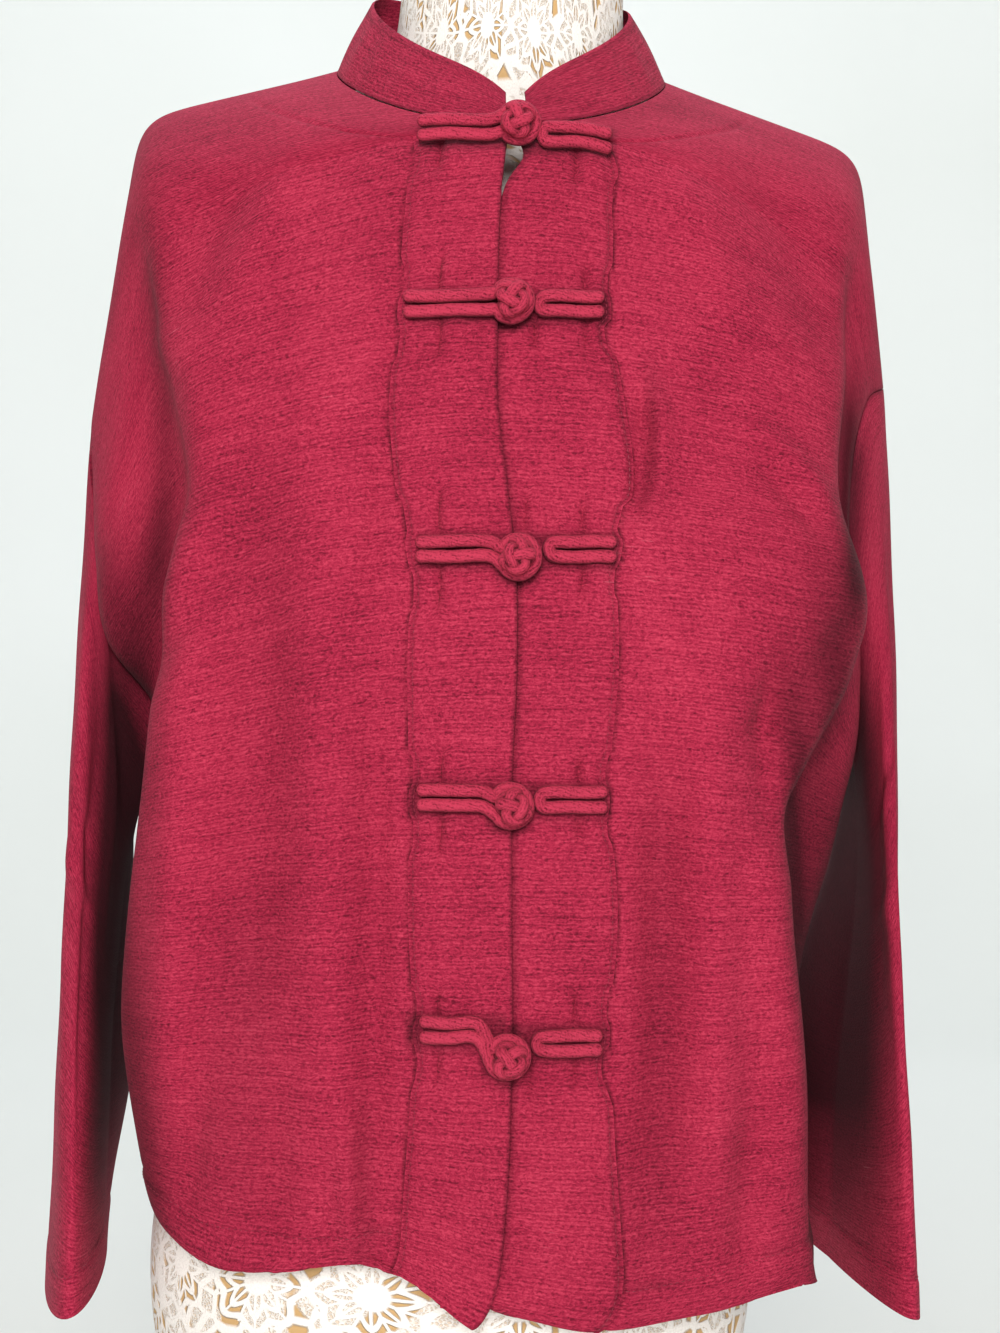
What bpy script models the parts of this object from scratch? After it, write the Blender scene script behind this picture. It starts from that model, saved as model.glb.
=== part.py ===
"""Tang jacket of crinkled cloth, worn by a limbless dress form on a counter stand.

Metres, +Z up. The jacket's front faces -Y, so the wearer's right is at -X.
The origin is the middle of the base's underside.
"""
import bpy
import bmesh
import numpy as np
from math import cos, pi, radians, sin

# ---- driving dimensions -----------------------------------------------------
MARK = 0.530            # height of the torso's middle; every table height is from it
SEAM_GAP = 0.0003       # between pieces that meet or lie on each other
CLOTH = 0.0012          # wall of the panels
BAND_CLOTH = 0.0010     # wall of the placket bands
COLLAR_CLOTH = 0.0016   # two layers with a stiffener
LAP_LIFT = 0.0034       # how far the upper front stands off the lower one
LAP = 0.012             # how far the lower front runs under the upper one
LAP_FADE = 0.060        # width over which that lift dies away
LAP_ROWS = 0.5          # rows below the neck over which the lap begins
FREE_CORNER = 0.04      # share of a column that a front's top corner stands back from the other
BAND_TOP = 0.004        # a band starts this far below the neck seam

NECK_X = 0.0266         # middle of the neck; the form leans to +X
NECK_HALF_WIDTH = 0.0900
NECK_FRONT = 0.0850
NECK_BACK = 0.0700
NECK_SIDE_HEIGHT = 0.3245
NECK_TILT = 0.034       # the neckline drops to +X with the form's lean
NECK_SLOPE = 0.467      # it falls towards the front
NECK_BEND = (1.5, 4.0)  # and bows down, in front and behind

COLLAR_HEIGHT = 0.0364
COLLAR_LEAN = 0.0185    # how far its top edge comes in towards the neck
COLLAR_DIP = 0.50       # share of its height lost to the rounded front corner
COLLAR_DIP_ANGLE = radians(12)
COLLAR_ENDS = (radians(-1.5), radians(8.6))  # where its two fronts start, right and left

CORD_HALF_WIDTH = 0.0032
CORD_HALF_HEIGHT = 0.0024
CORD_LANE = 0.0036      # from a frog's middle to each of its two cords
LOOP_RADIUS = 0.0084
KNOT_RADIUS = 0.0084
KNOT_HALF_HEIGHT = 0.0062
KNOT_HEIGHT = 0.0116    # its middle above the band
SHANK_RADIUS = 0.0022

FROG_END = 0.001        # a frog's ends stand this far inside its band's edge
LOOP_NECK = 0.006       # the loop's two cords come together this far before its ring
LOOP_OPEN = 150         # degrees each way round the knot that the loop's ring runs
BAR_GAP = 0.0022        # between the loop and the other side's turned end
BAR_BEND = (0.0012, 0.005)  # where that end's bend begins and stops

LEAN = 2.8              # degrees, the dress form to +X
FORM_SHIFT = -0.0045    # sets the leaning form under the jacket's middle
BASE_RADIUS = 0.160
BASE_HEIGHT = 0.016
POLE_RADIUS = 0.0140
POLE_GAP = 0.001        # between the pole and the torso above it
BASE_PROFILE = ((BASE_RADIUS - 0.003, 0), (BASE_RADIUS, 0.003), (BASE_RADIUS, 0.010),
                (BASE_RADIUS - 0.006, BASE_HEIGHT), (0.030, BASE_HEIGHT + 0.003),
                (0.022, 0.034), (0.020, 0.046))  # radius and height, from the bottom up

# ---- short tables: a row for each section, top to bottom --------------------
# The front on the wearer's right. mid and depth are the centre line's height and
# Y; the fold is where the front turns to the side, the seam where it ends, and
# swing is how deep the cloth dips between the two.
FRONT_RIGHT = np.array([
    (0.3245, 0.000, -0.1720, 0.000, 0.3020, -0.1960, 0.000, 0.1530, 0.00),  # shoulder
    (0.2950, -0.055, -0.1670, -0.040, 0.2640, -0.1945, -0.022, 0.1280, 0.03),  # yoke
    (0.2720, -0.086, -0.1570, -0.058, 0.2150, -0.1905, -0.036, 0.0950, 0.06),  # neck
    (0.1900, -0.108, -0.1480, -0.074, 0.1500, -0.1860, -0.046, 0.0520, 0.14),  # chest
    (0.1100, -0.122, -0.1370, -0.088, 0.0840, -0.1800, -0.044, 0.0120, 0.19),  # bust
    (0.0400, -0.127, -0.1450, -0.088, 0.0060, -0.1580, 0.000, -0.0350, 0.17),  # underarm
    (-0.0600, -0.127, -0.1590, -0.076, -0.0850, -0.1680, 0.000, -0.1080, 0.08),  # waist
    (-0.1800, -0.126, -0.1690, -0.066, -0.1850, -0.1785, 0.000, -0.1900, 0.07),  # hip
    (-0.3190, -0.126, -0.1510, -0.060, -0.2900, -0.1640, 0.000, -0.2760, 0.06),  # hem
])
FRONT_LEFT = np.array([
    (0.3245, 0.000, 0.2240, 0.000, 0.2820, 0.2370, 0.000, 0.1530, 0.00),
    (0.2950, -0.055, 0.2170, -0.040, 0.2450, 0.2310, -0.025, 0.1490, 0.03),
    (0.2720, -0.086, 0.2080, -0.054, 0.2000, 0.2200, -0.040, 0.1400, 0.05),
    (0.1900, -0.108, 0.2050, -0.062, 0.1500, 0.2110, -0.046, 0.1080, 0.06),
    (0.1100, -0.122, 0.1995, -0.070, 0.0880, 0.2100, -0.040, 0.0600, 0.08),
    (0.0400, -0.127, 0.2130, -0.074, 0.0200, 0.2200, 0.000, -0.0300, 0.13),
    (-0.0600, -0.127, 0.1680, -0.098, -0.0700, 0.2110, 0.000, -0.0850, 0.18),
    (-0.1800, -0.126, 0.1730, -0.088, -0.1750, 0.1870, 0.000, -0.1860, 0.14),
    (-0.3190, -0.124, 0.1880, -0.070, -0.3120, 0.1960, 0.000, -0.3060, 0.07),
])
# The back's own centre line: height and Y. Its sides mirror the fronts'.
BACK_MIDDLE = np.array([
    (0.3245, 0.000), (0.3376, 0.070), (0.2850, 0.094), (0.2100, 0.106), (0.1250, 0.109),
    (0.0350, 0.111), (-0.0650, 0.116), (-0.1850, 0.122), (-0.3120, 0.128),
])
UNDERARM_ROW = 5
HEM_ROW = 8
NECK_ROW = 2            # the front's centre line starts here
BACK_NECK_ROW = 1
BACK_LEAN = (-0.330, 0.330)  # heights between which the back's middle comes in from X = 0 to the neck
SQUARENESS = 2.3        # of the body's section at the fold
DROOP = 0.4             # how much more a row sags to its side, per row down from the shoulder
DROOP_ROWS = 3

# The hem's own height across each front: share of the way to the side, height.
HEM_RIGHT = ((0.00, -0.3190), (0.21, -0.2850), (0.40, -0.2945), (0.52, -0.2960), (0.65, -0.2830),
             (0.80, -0.2680), (1.00, -0.2500))
HEM_LEFT = ((0.00, -0.3050), (0.22, -0.3220), (0.42, -0.3160), (0.62, -0.3100), (0.85, -0.3180),
            (1.00, -0.3060))

# The opening: height, X of its edge, and the two bands' widths beside it.
PLACKET = ((0.275, 0.0312, 0.048, 0.047), (0.225, 0.0262, 0.048, 0.056),
           (0.170, 0.0249, 0.050, 0.056), (0.130, 0.0246, 0.053, 0.062),
           (0.090, 0.0290, 0.054, 0.062), (0.050, 0.0335, 0.052, 0.050),
           (0.000, 0.0342, 0.053, 0.049), (-0.055, 0.0317, 0.050, 0.047),
           (-0.120, 0.0316, 0.050, 0.051), (-0.180, 0.0318, 0.048, 0.047),
           (-0.250, 0.0285, 0.050, 0.054), (-0.285, 0.0240, 0.050, 0.060),
           (-0.320, 0.0120, 0.050, 0.066))

# The frogs: height of the loop side, of the knot and of the other side, knot's X.
FROGS = ((0.2690, 0.2710, 0.2655, 0.0352), (0.1768, 0.1776, 0.1768, 0.0312),
         (0.0563, 0.0525, 0.0563, 0.0346), (-0.0630, -0.0668, -0.0640, 0.0303),
         (-0.1745, -0.1868, -0.1810, 0.0289))

# The sleeves: height of the outer line and of the inner one, middle X and Y, half
# thickness, half depth, the turn in degrees that takes the back edge outwards, and how
# far the back of the sleeve swells in behind the body.
SLEEVE = "outer inner x y thick deep turn swell".split()
SLEEVE_RIGHT = np.array([
    (0.1530, -0.0350, -0.1775, -0.002, 0.0185, 0.048, 4, 0.000),
    (0.0650, -0.0850, -0.1880, -0.002, 0.0140, 0.054, 6, 0.000),
    (-0.0350, -0.1450, -0.1960, 0.000, 0.0125, 0.074, 8, 0.014),
    (-0.1600, -0.2250, -0.2020, 0.002, 0.0125, 0.087, 9, 0.026),
    (-0.3330, -0.3230, -0.2085, 0.004, 0.0160, 0.094, 11, 0.000),
])
SLEEVE_LEFT = np.array([
    (0.1530, -0.0300, 0.2280, 0.000, 0.0110, 0.038, 0, 0.000),
    (0.0700, -0.0750, 0.2325, 0.008, 0.0085, 0.044, 0, 0.000),
    (-0.0350, -0.1400, 0.2315, 0.016, 0.0080, 0.064, -1, 0.012),
    (-0.1600, -0.2250, 0.2240, 0.010, 0.0110, 0.082, -6, 0.028),
    (-0.3330, -0.3250, 0.2215, 0.002, 0.0140, 0.090, -8, 0.008),
])
SLEEVE_BLEND = 0.40     # share of the sleeve over which the armhole's shape dies away

# The dress form, upright: height, half width, front, back, squareness.
FORM = np.array([
    (-0.395, 0.1480, 0.094, 0.102, 2.2), (-0.370, 0.1590, 0.101, 0.108, 2.2),
    (-0.310, 0.1635, 0.106, 0.112, 2.2), (-0.230, 0.1500, 0.100, 0.096, 2.2),
    (-0.130, 0.1220, 0.088, 0.080, 2.2), (-0.030, 0.1320, 0.100, 0.082, 2.2),
    (0.060, 0.1480, 0.116, 0.090, 2.2), (0.140, 0.1600, 0.096, 0.092, 2.2),
    (0.205, 0.1760, 0.072, 0.080, 2.3), (0.245, 0.1840, 0.052, 0.064, 2.3),
    (0.268, 0.1800, 0.044, 0.058, 2.2), (0.282, 0.1640, 0.044, 0.060, 2.2),
    (0.293, 0.1350, 0.046, 0.060, 2.0), (0.303, 0.1050, 0.048, 0.056, 2.0),
    (0.313, 0.0800, 0.050, 0.053, 2.0), (0.330, 0.0660, 0.053, 0.050, 2.0),
    (0.350, 0.0620, 0.056, 0.046, 2.0), (0.388, 0.0600, 0.056, 0.044, 2.0),
])

# ---- how finely the cloth is faceted ---------------------------------------
ROWS = np.linspace(0, HEM_ROW, 2 * HEM_ROW + 1)
BAND_COLUMNS = 3
SHARES = np.array([0, 0.07, 0.14, 0.21, 0.30, 0.39, 0.48, 0.57, 0.65, 0.72, 0.78, 0.84,
                   0.90, 0.95, 1.0])
FINE = 80               # points on a row before it is thinned
SOFTENING = 14          # times each of those points is averaged with its neighbours
SLEEVE_SPREAD = 1.15    # rings are closer together near the armhole
SHARP = radians(50)     # edges turned more than this stay crisp
SLEEVE_RINGS = 10


def smooth_between(table, at):
    """Catmull-Rom curve through a table's rows, read at the row numbers in at."""
    at = np.atleast_1d(at)
    last = len(table) - 1
    k = np.clip(np.floor(at).astype(int), 0, last - 1)
    t = (at - k)[:, None]
    a, b = table[np.clip(k - 1, 0, last)], table[k]
    c, d = table[k + 1], table[np.clip(k + 2, 0, last)]
    return 0.5 * (2 * b + (c - a) * t + (2 * a - 5 * b + 4 * c - d) * t ** 2
                  + (3 * b - a - 3 * c + d) * t ** 3)


def placket_at(z):
    """Opening edge's X and the two bands' widths at a height."""
    rows = np.array(PLACKET)[::-1]
    return [np.interp(z, rows[:, 0], rows[:, k]) for k in (1, 2, 3)]


def neckline(angle, side):
    """A point of the neck seam; angle is 0 at the front and pi at the back."""
    reach = np.where(np.cos(angle) > 0, NECK_FRONT, NECK_BACK)
    x = NECK_X + side * NECK_HALF_WIDTH * np.sin(angle)
    y = -reach * np.cos(angle)
    bend = np.where(y < 0, *NECK_BEND)
    z = NECK_SIDE_HEIGHT + NECK_SLOPE * y - bend * y * y - NECK_TILT * (x - NECK_X)
    return np.stack([x, y, z], axis=-1)


def row_starts(at, table, side, back):
    """Where each row starts: on the neck seam, then down the centre line."""
    mid, depth = table[:, 0], table[:, 1]
    if back:
        start = np.stack([NECK_X + 0 * mid, depth, mid], axis=-1)
        start[:, 0] *= np.clip((mid - BACK_LEAN[0]) / (BACK_LEAN[1] - BACK_LEAN[0]), 0, 1)
        on_neck = at <= BACK_NECK_ROW
        start[on_neck] = neckline(pi / 2 + pi / 2 * at[on_neck] / BACK_NECK_ROW, side)
    else:
        start = np.stack([placket_at(mid)[0], depth, mid], axis=-1)
        on_neck = at <= NECK_ROW
        opening = side * np.arcsin((PLACKET[0][1] - NECK_X) / NECK_HALF_WIDTH)
        start[on_neck] = neckline(pi / 2 + (opening - pi / 2) * at[on_neck] / NECK_ROW, side)
    return start


def fine_rows(at, side, back=False):
    """Every row as a fine curve: out to the fold, on to the seam, then relaxed."""
    table = smooth_between(FRONT_LEFT if side > 0 else FRONT_RIGHT, at)
    table[:, 6] = np.where(at < UNDERARM_ROW, np.minimum(table[:, 6], 0), 0)
    if back:
        table[:, :2] = smooth_between(BACK_MIDDLE, at)
    start = row_starts(at, table, side, back)[:, None, :]
    turn = -1 if back else 1
    fold = np.stack([table[:, 2], turn * table[:, 3], table[:, 4]], axis=-1)[:, None, :]
    seam = np.stack([table[:, 5], turn * table[:, 6], table[:, 7]], axis=-1)[:, None, :]
    # Out to the fold: a squared quarter oval whose height droops towards the side.
    t = np.linspace(0, 1, FINE // 2 + 1)[None, :]
    out = np.sin(t * pi / 2) ** (2 / SQUARENESS)
    over = np.cos(t * pi / 2) ** (2 / SQUARENESS)
    power = 1 + np.clip(at, 0, DROOP_ROWS)[:, None] * DROOP
    first = np.stack([start[..., 0] + (fold[..., 0] - start[..., 0]) * out,
                      fold[..., 1] + (start[..., 1] - fold[..., 1]) * over,
                      start[..., 2] + (fold[..., 2] - start[..., 2]) * out ** power], axis=-1)
    # On to the seam: a Hermite curve that dips in and comes forward again.
    s = np.linspace(0, 1, FINE // 2 + 1)[None, 1:]
    ease = s * s * (3 - 2 * s)
    dip = (s ** 3 - 2 * s ** 2 + s) + (s ** 3 - s ** 2)
    swing = turn * table[:, 8][:, None]
    second = fold + (seam - fold) * ease[..., None]
    second[..., 1] += swing * dip
    rows = np.concatenate([first, second], axis=1)
    for _ in range(SOFTENING):
        rows[:, 1:-1] = (rows[:, :-2] + 2 * rows[:, 1:-1] + rows[:, 2:]) / 4
    if not back:
        hem = np.clip(at - (HEM_ROW - 1), 0, 1)[:, None] ** 2
        wave = hem_height(side, rows)
        rows[..., 2] += hem * (wave - rows[..., 2])
    return rows


def hem_height(side, rows):
    """The hem's height along each row, straight between the points of its table."""
    shares, heights = np.array(HEM_LEFT if side > 0 else HEM_RIGHT).T
    step = np.linalg.norm(np.diff(rows[..., :2], axis=1), axis=-1)
    run = np.concatenate([np.zeros((len(rows), 1)), np.cumsum(step, axis=1)], axis=1)
    return np.interp(run / run[:, -1:], shares, heights)


def thin_row(row, lengths):
    """Points at given lengths along one fine row."""
    step = np.linalg.norm(np.diff(row, axis=0), axis=1)
    run = np.concatenate([[0], np.cumsum(step)])
    return np.stack([np.interp(lengths, run, row[:, k]) for k in range(3)], axis=-1)


def panel(side, back=False):
    """One half panel as a grid of points, rows by columns, from the middle to the side."""
    rows = fine_rows(ROWS, side, back)
    grid = []
    for at, row in zip(ROWS, rows):
        whole = np.linalg.norm(np.diff(row, axis=0), axis=1).sum()
        lengths = SHARES * whole
        if not back:
            band = placket_at(row[0, 2])[2 if side > 0 else 1]
            banded = np.empty_like(lengths)
            inner = np.arange(BAND_COLUMNS + 1)
            banded[inner] = band * inner / BAND_COLUMNS
            rest = (SHARES[BAND_COLUMNS:] - SHARES[BAND_COLUMNS]) / (1 - SHARES[BAND_COLUMNS])
            banded[BAND_COLUMNS:] = band + (whole - band) * rest
            share = np.clip(at - 1, 0, 1)
            lengths = lengths + (banded - lengths) * share
        grid.append(thin_row(row, lengths))
    return np.array(grid)


def normals_of(grid, towards):
    """Unit normals of a grid of points, on the side of the given direction."""
    down = np.gradient(grid, axis=0)
    across = np.gradient(grid, axis=1)
    n = np.cross(down, across)
    n /= np.linalg.norm(n, axis=-1, keepdims=True)
    return n * np.sign((n * towards).sum(axis=-1).mean())


def pull_in(grid, edge, by=SEAM_GAP * 0.7):
    """Draw one edge of a grid back along the cloth, to leave the seam's gap."""
    ends = {"top": (0, 1), "bottom": (-1, -2)}
    if edge in ends:
        a, b = ends[edge]
        way = grid[b] - grid[a]
        grid[a] += by * way / np.linalg.norm(way, axis=-1, keepdims=True)
    else:
        a, b = (0, 1) if edge == "left" else (-1, -2)
        way = grid[:, b] - grid[:, a]
        grid[:, a] += by * way / np.linalg.norm(way, axis=-1, keepdims=True)


def material(name, colour, roughness, metallic=0.0):
    made = bpy.data.materials.new(name)
    made.use_nodes = True
    shader = made.node_tree.nodes["Principled BSDF"]
    shader.inputs["Base Color"].default_value = (*colour, 1)
    shader.inputs["Roughness"].default_value = roughness
    shader.inputs["Metallic"].default_value = metallic
    made.diffuse_color = (*colour, 1)
    return made


def add_object(name, points, faces, stuff):
    """A named object from points and faces, its faces turned outwards."""
    mesh = bpy.data.meshes.new(name)
    mesh.from_pydata([tuple(p) for p in points], [], faces)
    work = bmesh.new()
    work.from_mesh(mesh)
    bmesh.ops.recalc_face_normals(work, faces=work.faces)
    if work.calc_volume(signed=True) < 0:
        bmesh.ops.reverse_faces(work, faces=work.faces)
    work.to_mesh(mesh)
    work.free()
    mesh.shade_smooth()
    mesh.set_sharp_from_angle(angle=SHARP)
    mesh.materials.append(stuff)
    made = bpy.data.objects.new(name, mesh)
    bpy.context.scene.collection.objects.link(made)
    return made


def wall(name, outer, inner, stuff, around=False, cut=None, joined=None):
    """A closed solid between two grids of points.

    around joins the last column to the first. cut is a column whose span to the next
    one is left open; the two columns are one where joined is true.
    """
    rows, columns = outer.shape[:2]
    index = np.arange(rows * columns).reshape(rows, columns)
    if cut is not None:
        index[joined, cut + 1] = index[joined, cut]
    spans = columns if around else columns - 1
    skin = []
    for r in range(rows - 1):
        for c in range(spans):
            d = (c + 1) % columns
            if c != cut:
                a, b, e, f = index[r, c], index[r, d], index[r + 1, c], index[r + 1, d]
                skin += [(a, e, f), (a, f, b)]
    edges = {(t[k], t[(k + 1) % 3]) for t in skin for k in range(3)}
    rim = [edge for edge in edges if edge[::-1] not in edges]
    size = rows * columns
    faces = skin + [(a + size, c + size, b + size) for a, b, c in skin]
    for a, b in sorted(rim):
        faces += [(b, a, a + size), (b, a + size, b + size)]
    points = np.concatenate([outer.reshape(-1, 3), inner.reshape(-1, 3)])
    used = np.unique(np.array(faces))
    place = {old: new for new, old in enumerate(used)}
    return add_object(name, points[used], [tuple(place[k] for k in f) for f in faces], stuff)


def tube(name, path, up, stuff, half_width=CORD_HALF_WIDTH, half_height=CORD_HALF_HEIGHT, sides=6):
    """A cord with an oval section along a path, with closed ends; up is its height's way."""
    path = np.array(path)
    way = np.gradient(path, axis=0)
    way /= np.linalg.norm(way, axis=1, keepdims=True)
    across = np.cross(way, up)
    across /= np.linalg.norm(across, axis=1, keepdims=True)
    raised = np.cross(across, way)
    rings = []
    for k in range(sides):
        turn = 2 * pi * (k + 0.5) / sides
        rings.append(path + across * half_width * cos(turn) + raised * half_height * sin(turn))
    grid = np.stack(rings, axis=1)
    faces = []
    for r in range(len(path) - 1):
        for c in range(sides):
            d = (c + 1) % sides
            a, b = r * sides + c, r * sides + d
            faces += [(a, b, b + sides), (a, b + sides, a + sides)]
    last = (len(path) - 1) * sides
    faces += [tuple(range(sides))[::-1], tuple(range(last, last + sides))]
    return add_object(name, grid.reshape(-1, 3), faces, stuff)


def turned(name, profile, stuff, sides=28, centre=(0, 0)):
    """A solid turned about an upright axis; profile holds (radius, height) from the bottom up."""
    points, faces = [], []
    for radius, height in profile:
        for k in range(sides):
            turn = 2 * pi * k / sides
            points.append((centre[0] + radius * cos(turn), centre[1] + radius * sin(turn), height))
    for r in range(len(profile) - 1):
        for c in range(sides):
            d = (c + 1) % sides
            a, b = r * sides + c, r * sides + d
            faces.append((a, b, b + sides, a + sides))
    last = (len(profile) - 1) * sides
    faces += [tuple(range(sides))[::-1], tuple(range(last, last + sides))]
    return add_object(name, points, faces, stuff)


def lift_of(lengths):
    """How far the upper front stands off the common surface, by distance from its edge."""
    share = np.clip(lengths / LAP_FADE, 0, 1)
    return LAP_LIFT * (1 - share * share * (3 - 2 * share))


def back_normals(back, columns):
    """The back's normals: its halves apart beside the neck, and as one below it."""
    halves = [normals_of(half, (0, 1, 0)) for half in (back[:, :columns], back[:, columns:])]
    apart = np.concatenate(halves, axis=1)
    whole = normals_of(np.delete(back, columns, axis=1), (0, 1, 0))
    whole = np.insert(whole, columns, whole[:, columns - 1], axis=1)
    below = (ROWS >= BACK_NECK_ROW)[:, None, None]
    return np.where(below, whole, apart)


def body_grids():
    """The fronts' and the back's outer surfaces with their normals."""
    right, left = panel(-1), panel(1)
    back_right, back_left = panel(-1, True), panel(1, True)
    back = np.concatenate([back_right[:, ::-1], back_left], axis=1)
    n_right, n_left = normals_of(right, (0, -1, 0)), normals_of(left, (0, -1, 0))
    columns = right.shape[1]
    n_back = back_normals(back, columns)
    # Neighbours share one normal on a seam: the shoulders, then the side seams.
    side_rows = ROWS >= UNDERARM_ROW
    for n_front, part, edge in ((n_right, slice(columns - 1, None, -1), 0),
                                (n_left, slice(columns, None), -1)):
        shoulder = n_front[0] + n_back[0, part]
        shoulder /= np.linalg.norm(shoulder, axis=-1, keepdims=True)
        n_front[0] = n_back[0, part] = shoulder
        side = n_front[side_rows, -1] + n_back[side_rows, edge]
        side /= np.linalg.norm(side, axis=-1, keepdims=True)
        n_front[side_rows, -1] = n_back[side_rows, edge] = side
    return (right, n_right), (left, n_left), (back, n_back)


def fronts(right, left, cloth):
    """Both front panels; the wearer's right one is lifted where it laps over."""
    points, normals = right
    lengths = np.concatenate([np.zeros((len(ROWS), 1)), np.cumsum(
        np.linalg.norm(np.diff(points, axis=1), axis=-1), axis=1)], axis=1)
    share = np.clip((ROWS - NECK_ROW) / LAP_ROWS, 0, 1)[:, None]
    raised = points + normals * (lift_of(lengths) * share)[..., None]
    unlapped = ROWS <= NECK_ROW + LAP_ROWS
    for grid in (raised, left[0]):
        pull_in(grid, "right")
        pull_in(grid, "top")
        grid[unlapped, 0] += (grid[unlapped, 1] - grid[unlapped, 0]) * FREE_CORNER
    wall("front_right", raised, raised - normals * CLOTH, cloth)

    points, normals = left
    under = points[:, 0].copy()
    under[:, 0] -= LAP * np.clip((ROWS - NECK_ROW - LAP_ROWS) / LAP_ROWS, 0, 1)
    lapped = np.concatenate([under[:, None], points], axis=1)
    lapped_normals = np.concatenate([normals[:, :1], normals], axis=1)
    wall("front_left", lapped, lapped - lapped_normals * CLOTH, cloth)
    return (raised, right[1]), (lapped, lapped_normals)


def band(name, front, first, cloth):
    """A placket band on a front's first columns, made from its points, moved out."""
    begin = NECK_ROW * 2
    points = front[0][begin:, first:first + BAND_COLUMNS + 1].copy()
    normals = front[1][begin:, first:first + BAND_COLUMNS + 1]
    pull_in(points, "top", by=BAND_TOP)
    low = points + normals * SEAM_GAP
    wall(name, low + normals * BAND_CLOTH, low, cloth)
    return low + normals * BAND_CLOTH, normals


def back_panel(back, cloth):
    points, normals = back
    for edge in ("left", "right", "top"):
        pull_in(points, edge)
    half = points.shape[1] // 2
    wall("back", points, points - normals * CLOTH, cloth, cut=half - 1,
         joined=ROWS >= BACK_NECK_ROW)


def sleeve(name, side, front, back, table, cloth):
    """A tube that starts as the armhole and falls to a flat oval cuff."""
    rows = int(UNDERARM_ROW * 2) + 1
    back_column = 0 if side < 0 else -1
    hole = np.concatenate([front[0][:rows, -1], back[0][rows - 2:0:-1, back_column]])
    hole_normals = np.concatenate([front[1][:rows, -1], back[1][rows - 2:0:-1, back_column]])
    count = len(hole)
    angle = 2 * pi * np.arange(count) / count
    along = np.linspace(0, 1, SLEEVE_RINGS + 1) ** SLEEVE_SPREAD
    section = smooth_between(table, along * (len(table) - 1))
    column = {name: section[:, k][:, None] for k, name in enumerate(SLEEVE)}
    out = column["thick"] * np.cos(angle)
    fore = column["deep"] * np.sin(angle)
    turn = np.radians(column["turn"])
    behind = column["swell"] * np.clip(-np.sin(angle), 0, 1) * (1 - np.cos(angle)) / 2
    x = column["x"] + side * (out * np.cos(turn) - fore * np.sin(turn) - behind)
    y = column["y"] - fore * np.cos(turn) - out * np.sin(turn)
    z = (column["outer"] + column["inner"]) / 2 + (column["outer"] - column["inner"]) / 2 * np.cos(angle)
    rings = np.stack([x, y, z], axis=-1)
    fade = np.clip(1 - along / SLEEVE_BLEND, 0, 1)[:, None, None] ** 2
    rings = rings + fade * (hole[None] - rings[0])
    wrapped = np.concatenate([rings[:, -1:], rings, rings[:, :1]], axis=1)
    middle = rings.mean(axis=1, keepdims=True)
    normals = np.cross(np.gradient(wrapped, axis=0), np.gradient(wrapped, axis=1))[:, 1:-1]
    normals /= np.linalg.norm(normals, axis=-1, keepdims=True)
    normals *= np.sign((normals * (rings - middle)).sum(axis=-1).mean())
    normals[0] = hole_normals
    pull_in(rings, "top", by=SEAM_GAP * 1.2)
    wall(name, rings, rings - normals * CLOTH, cloth, around=True)


def collar(cloth):
    """A stand collar on the neck seam, open at the front, with rounded front corners."""
    steps = np.concatenate([[0, 0.02, 0.05, 0.09, 0.15, 0.22], np.linspace(0.3, 1, 10)])
    outer, inner = [], []
    for side, begin in zip((-1, 1), COLLAR_ENDS):
        angle = begin + (pi - begin) * steps
        base = neckline(angle, side)
        dip = 1 - COLLAR_DIP * np.exp(-(angle - begin) / COLLAR_DIP_ANGLE)
        inward = np.stack([-side * np.sin(angle), np.cos(angle), 0 * angle], axis=-1)
        rows, thick = [], []
        for share in (0.0, 0.35, 0.7, 1.0):
            tall = COLLAR_HEIGHT * dip * share
            point = base + inward * (COLLAR_LEAN * share * dip)[:, None]
            point[:, 2] += tall + 2 * SEAM_GAP
            rows.append(point)
            thick.append(point + inward * COLLAR_CLOTH + np.array([0, 0, COLLAR_CLOTH * 0.4]))
        outer.append(np.array(rows))
        inner.append(np.array(thick))
    join = [np.concatenate([half[0], half[1][:, -2::-1]], axis=1) for half in (outer, inner)]
    wall("collar", join[0], join[1], cloth)


def on_band(surface, z, x):
    """The point and normal of a band's outer face at a height and an X."""
    points, normals = surface
    heights = points[:, 0, 2]
    row = np.interp(-z, -heights, np.arange(len(heights)))
    k = min(int(row), len(heights) - 2)
    t = row - k
    line = points[k] * (1 - t) + points[k + 1] * t
    across = normals[k] * (1 - t) + normals[k + 1] * t
    order = np.argsort(line[:, 0])
    y = np.interp(x, line[order, 0], line[order, 1])
    normal = np.array([np.interp(x, line[order, 0], across[order, j]) for j in range(3)])
    edge = line[-1, 0]
    return np.array([x, y, z]), normal / np.linalg.norm(normal), edge


def flattened(normal):
    """A normal turned level, so that a frog lies in an upright plane."""
    level = normal * (1, 1, 0)
    return level / np.linalg.norm(level)


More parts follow.
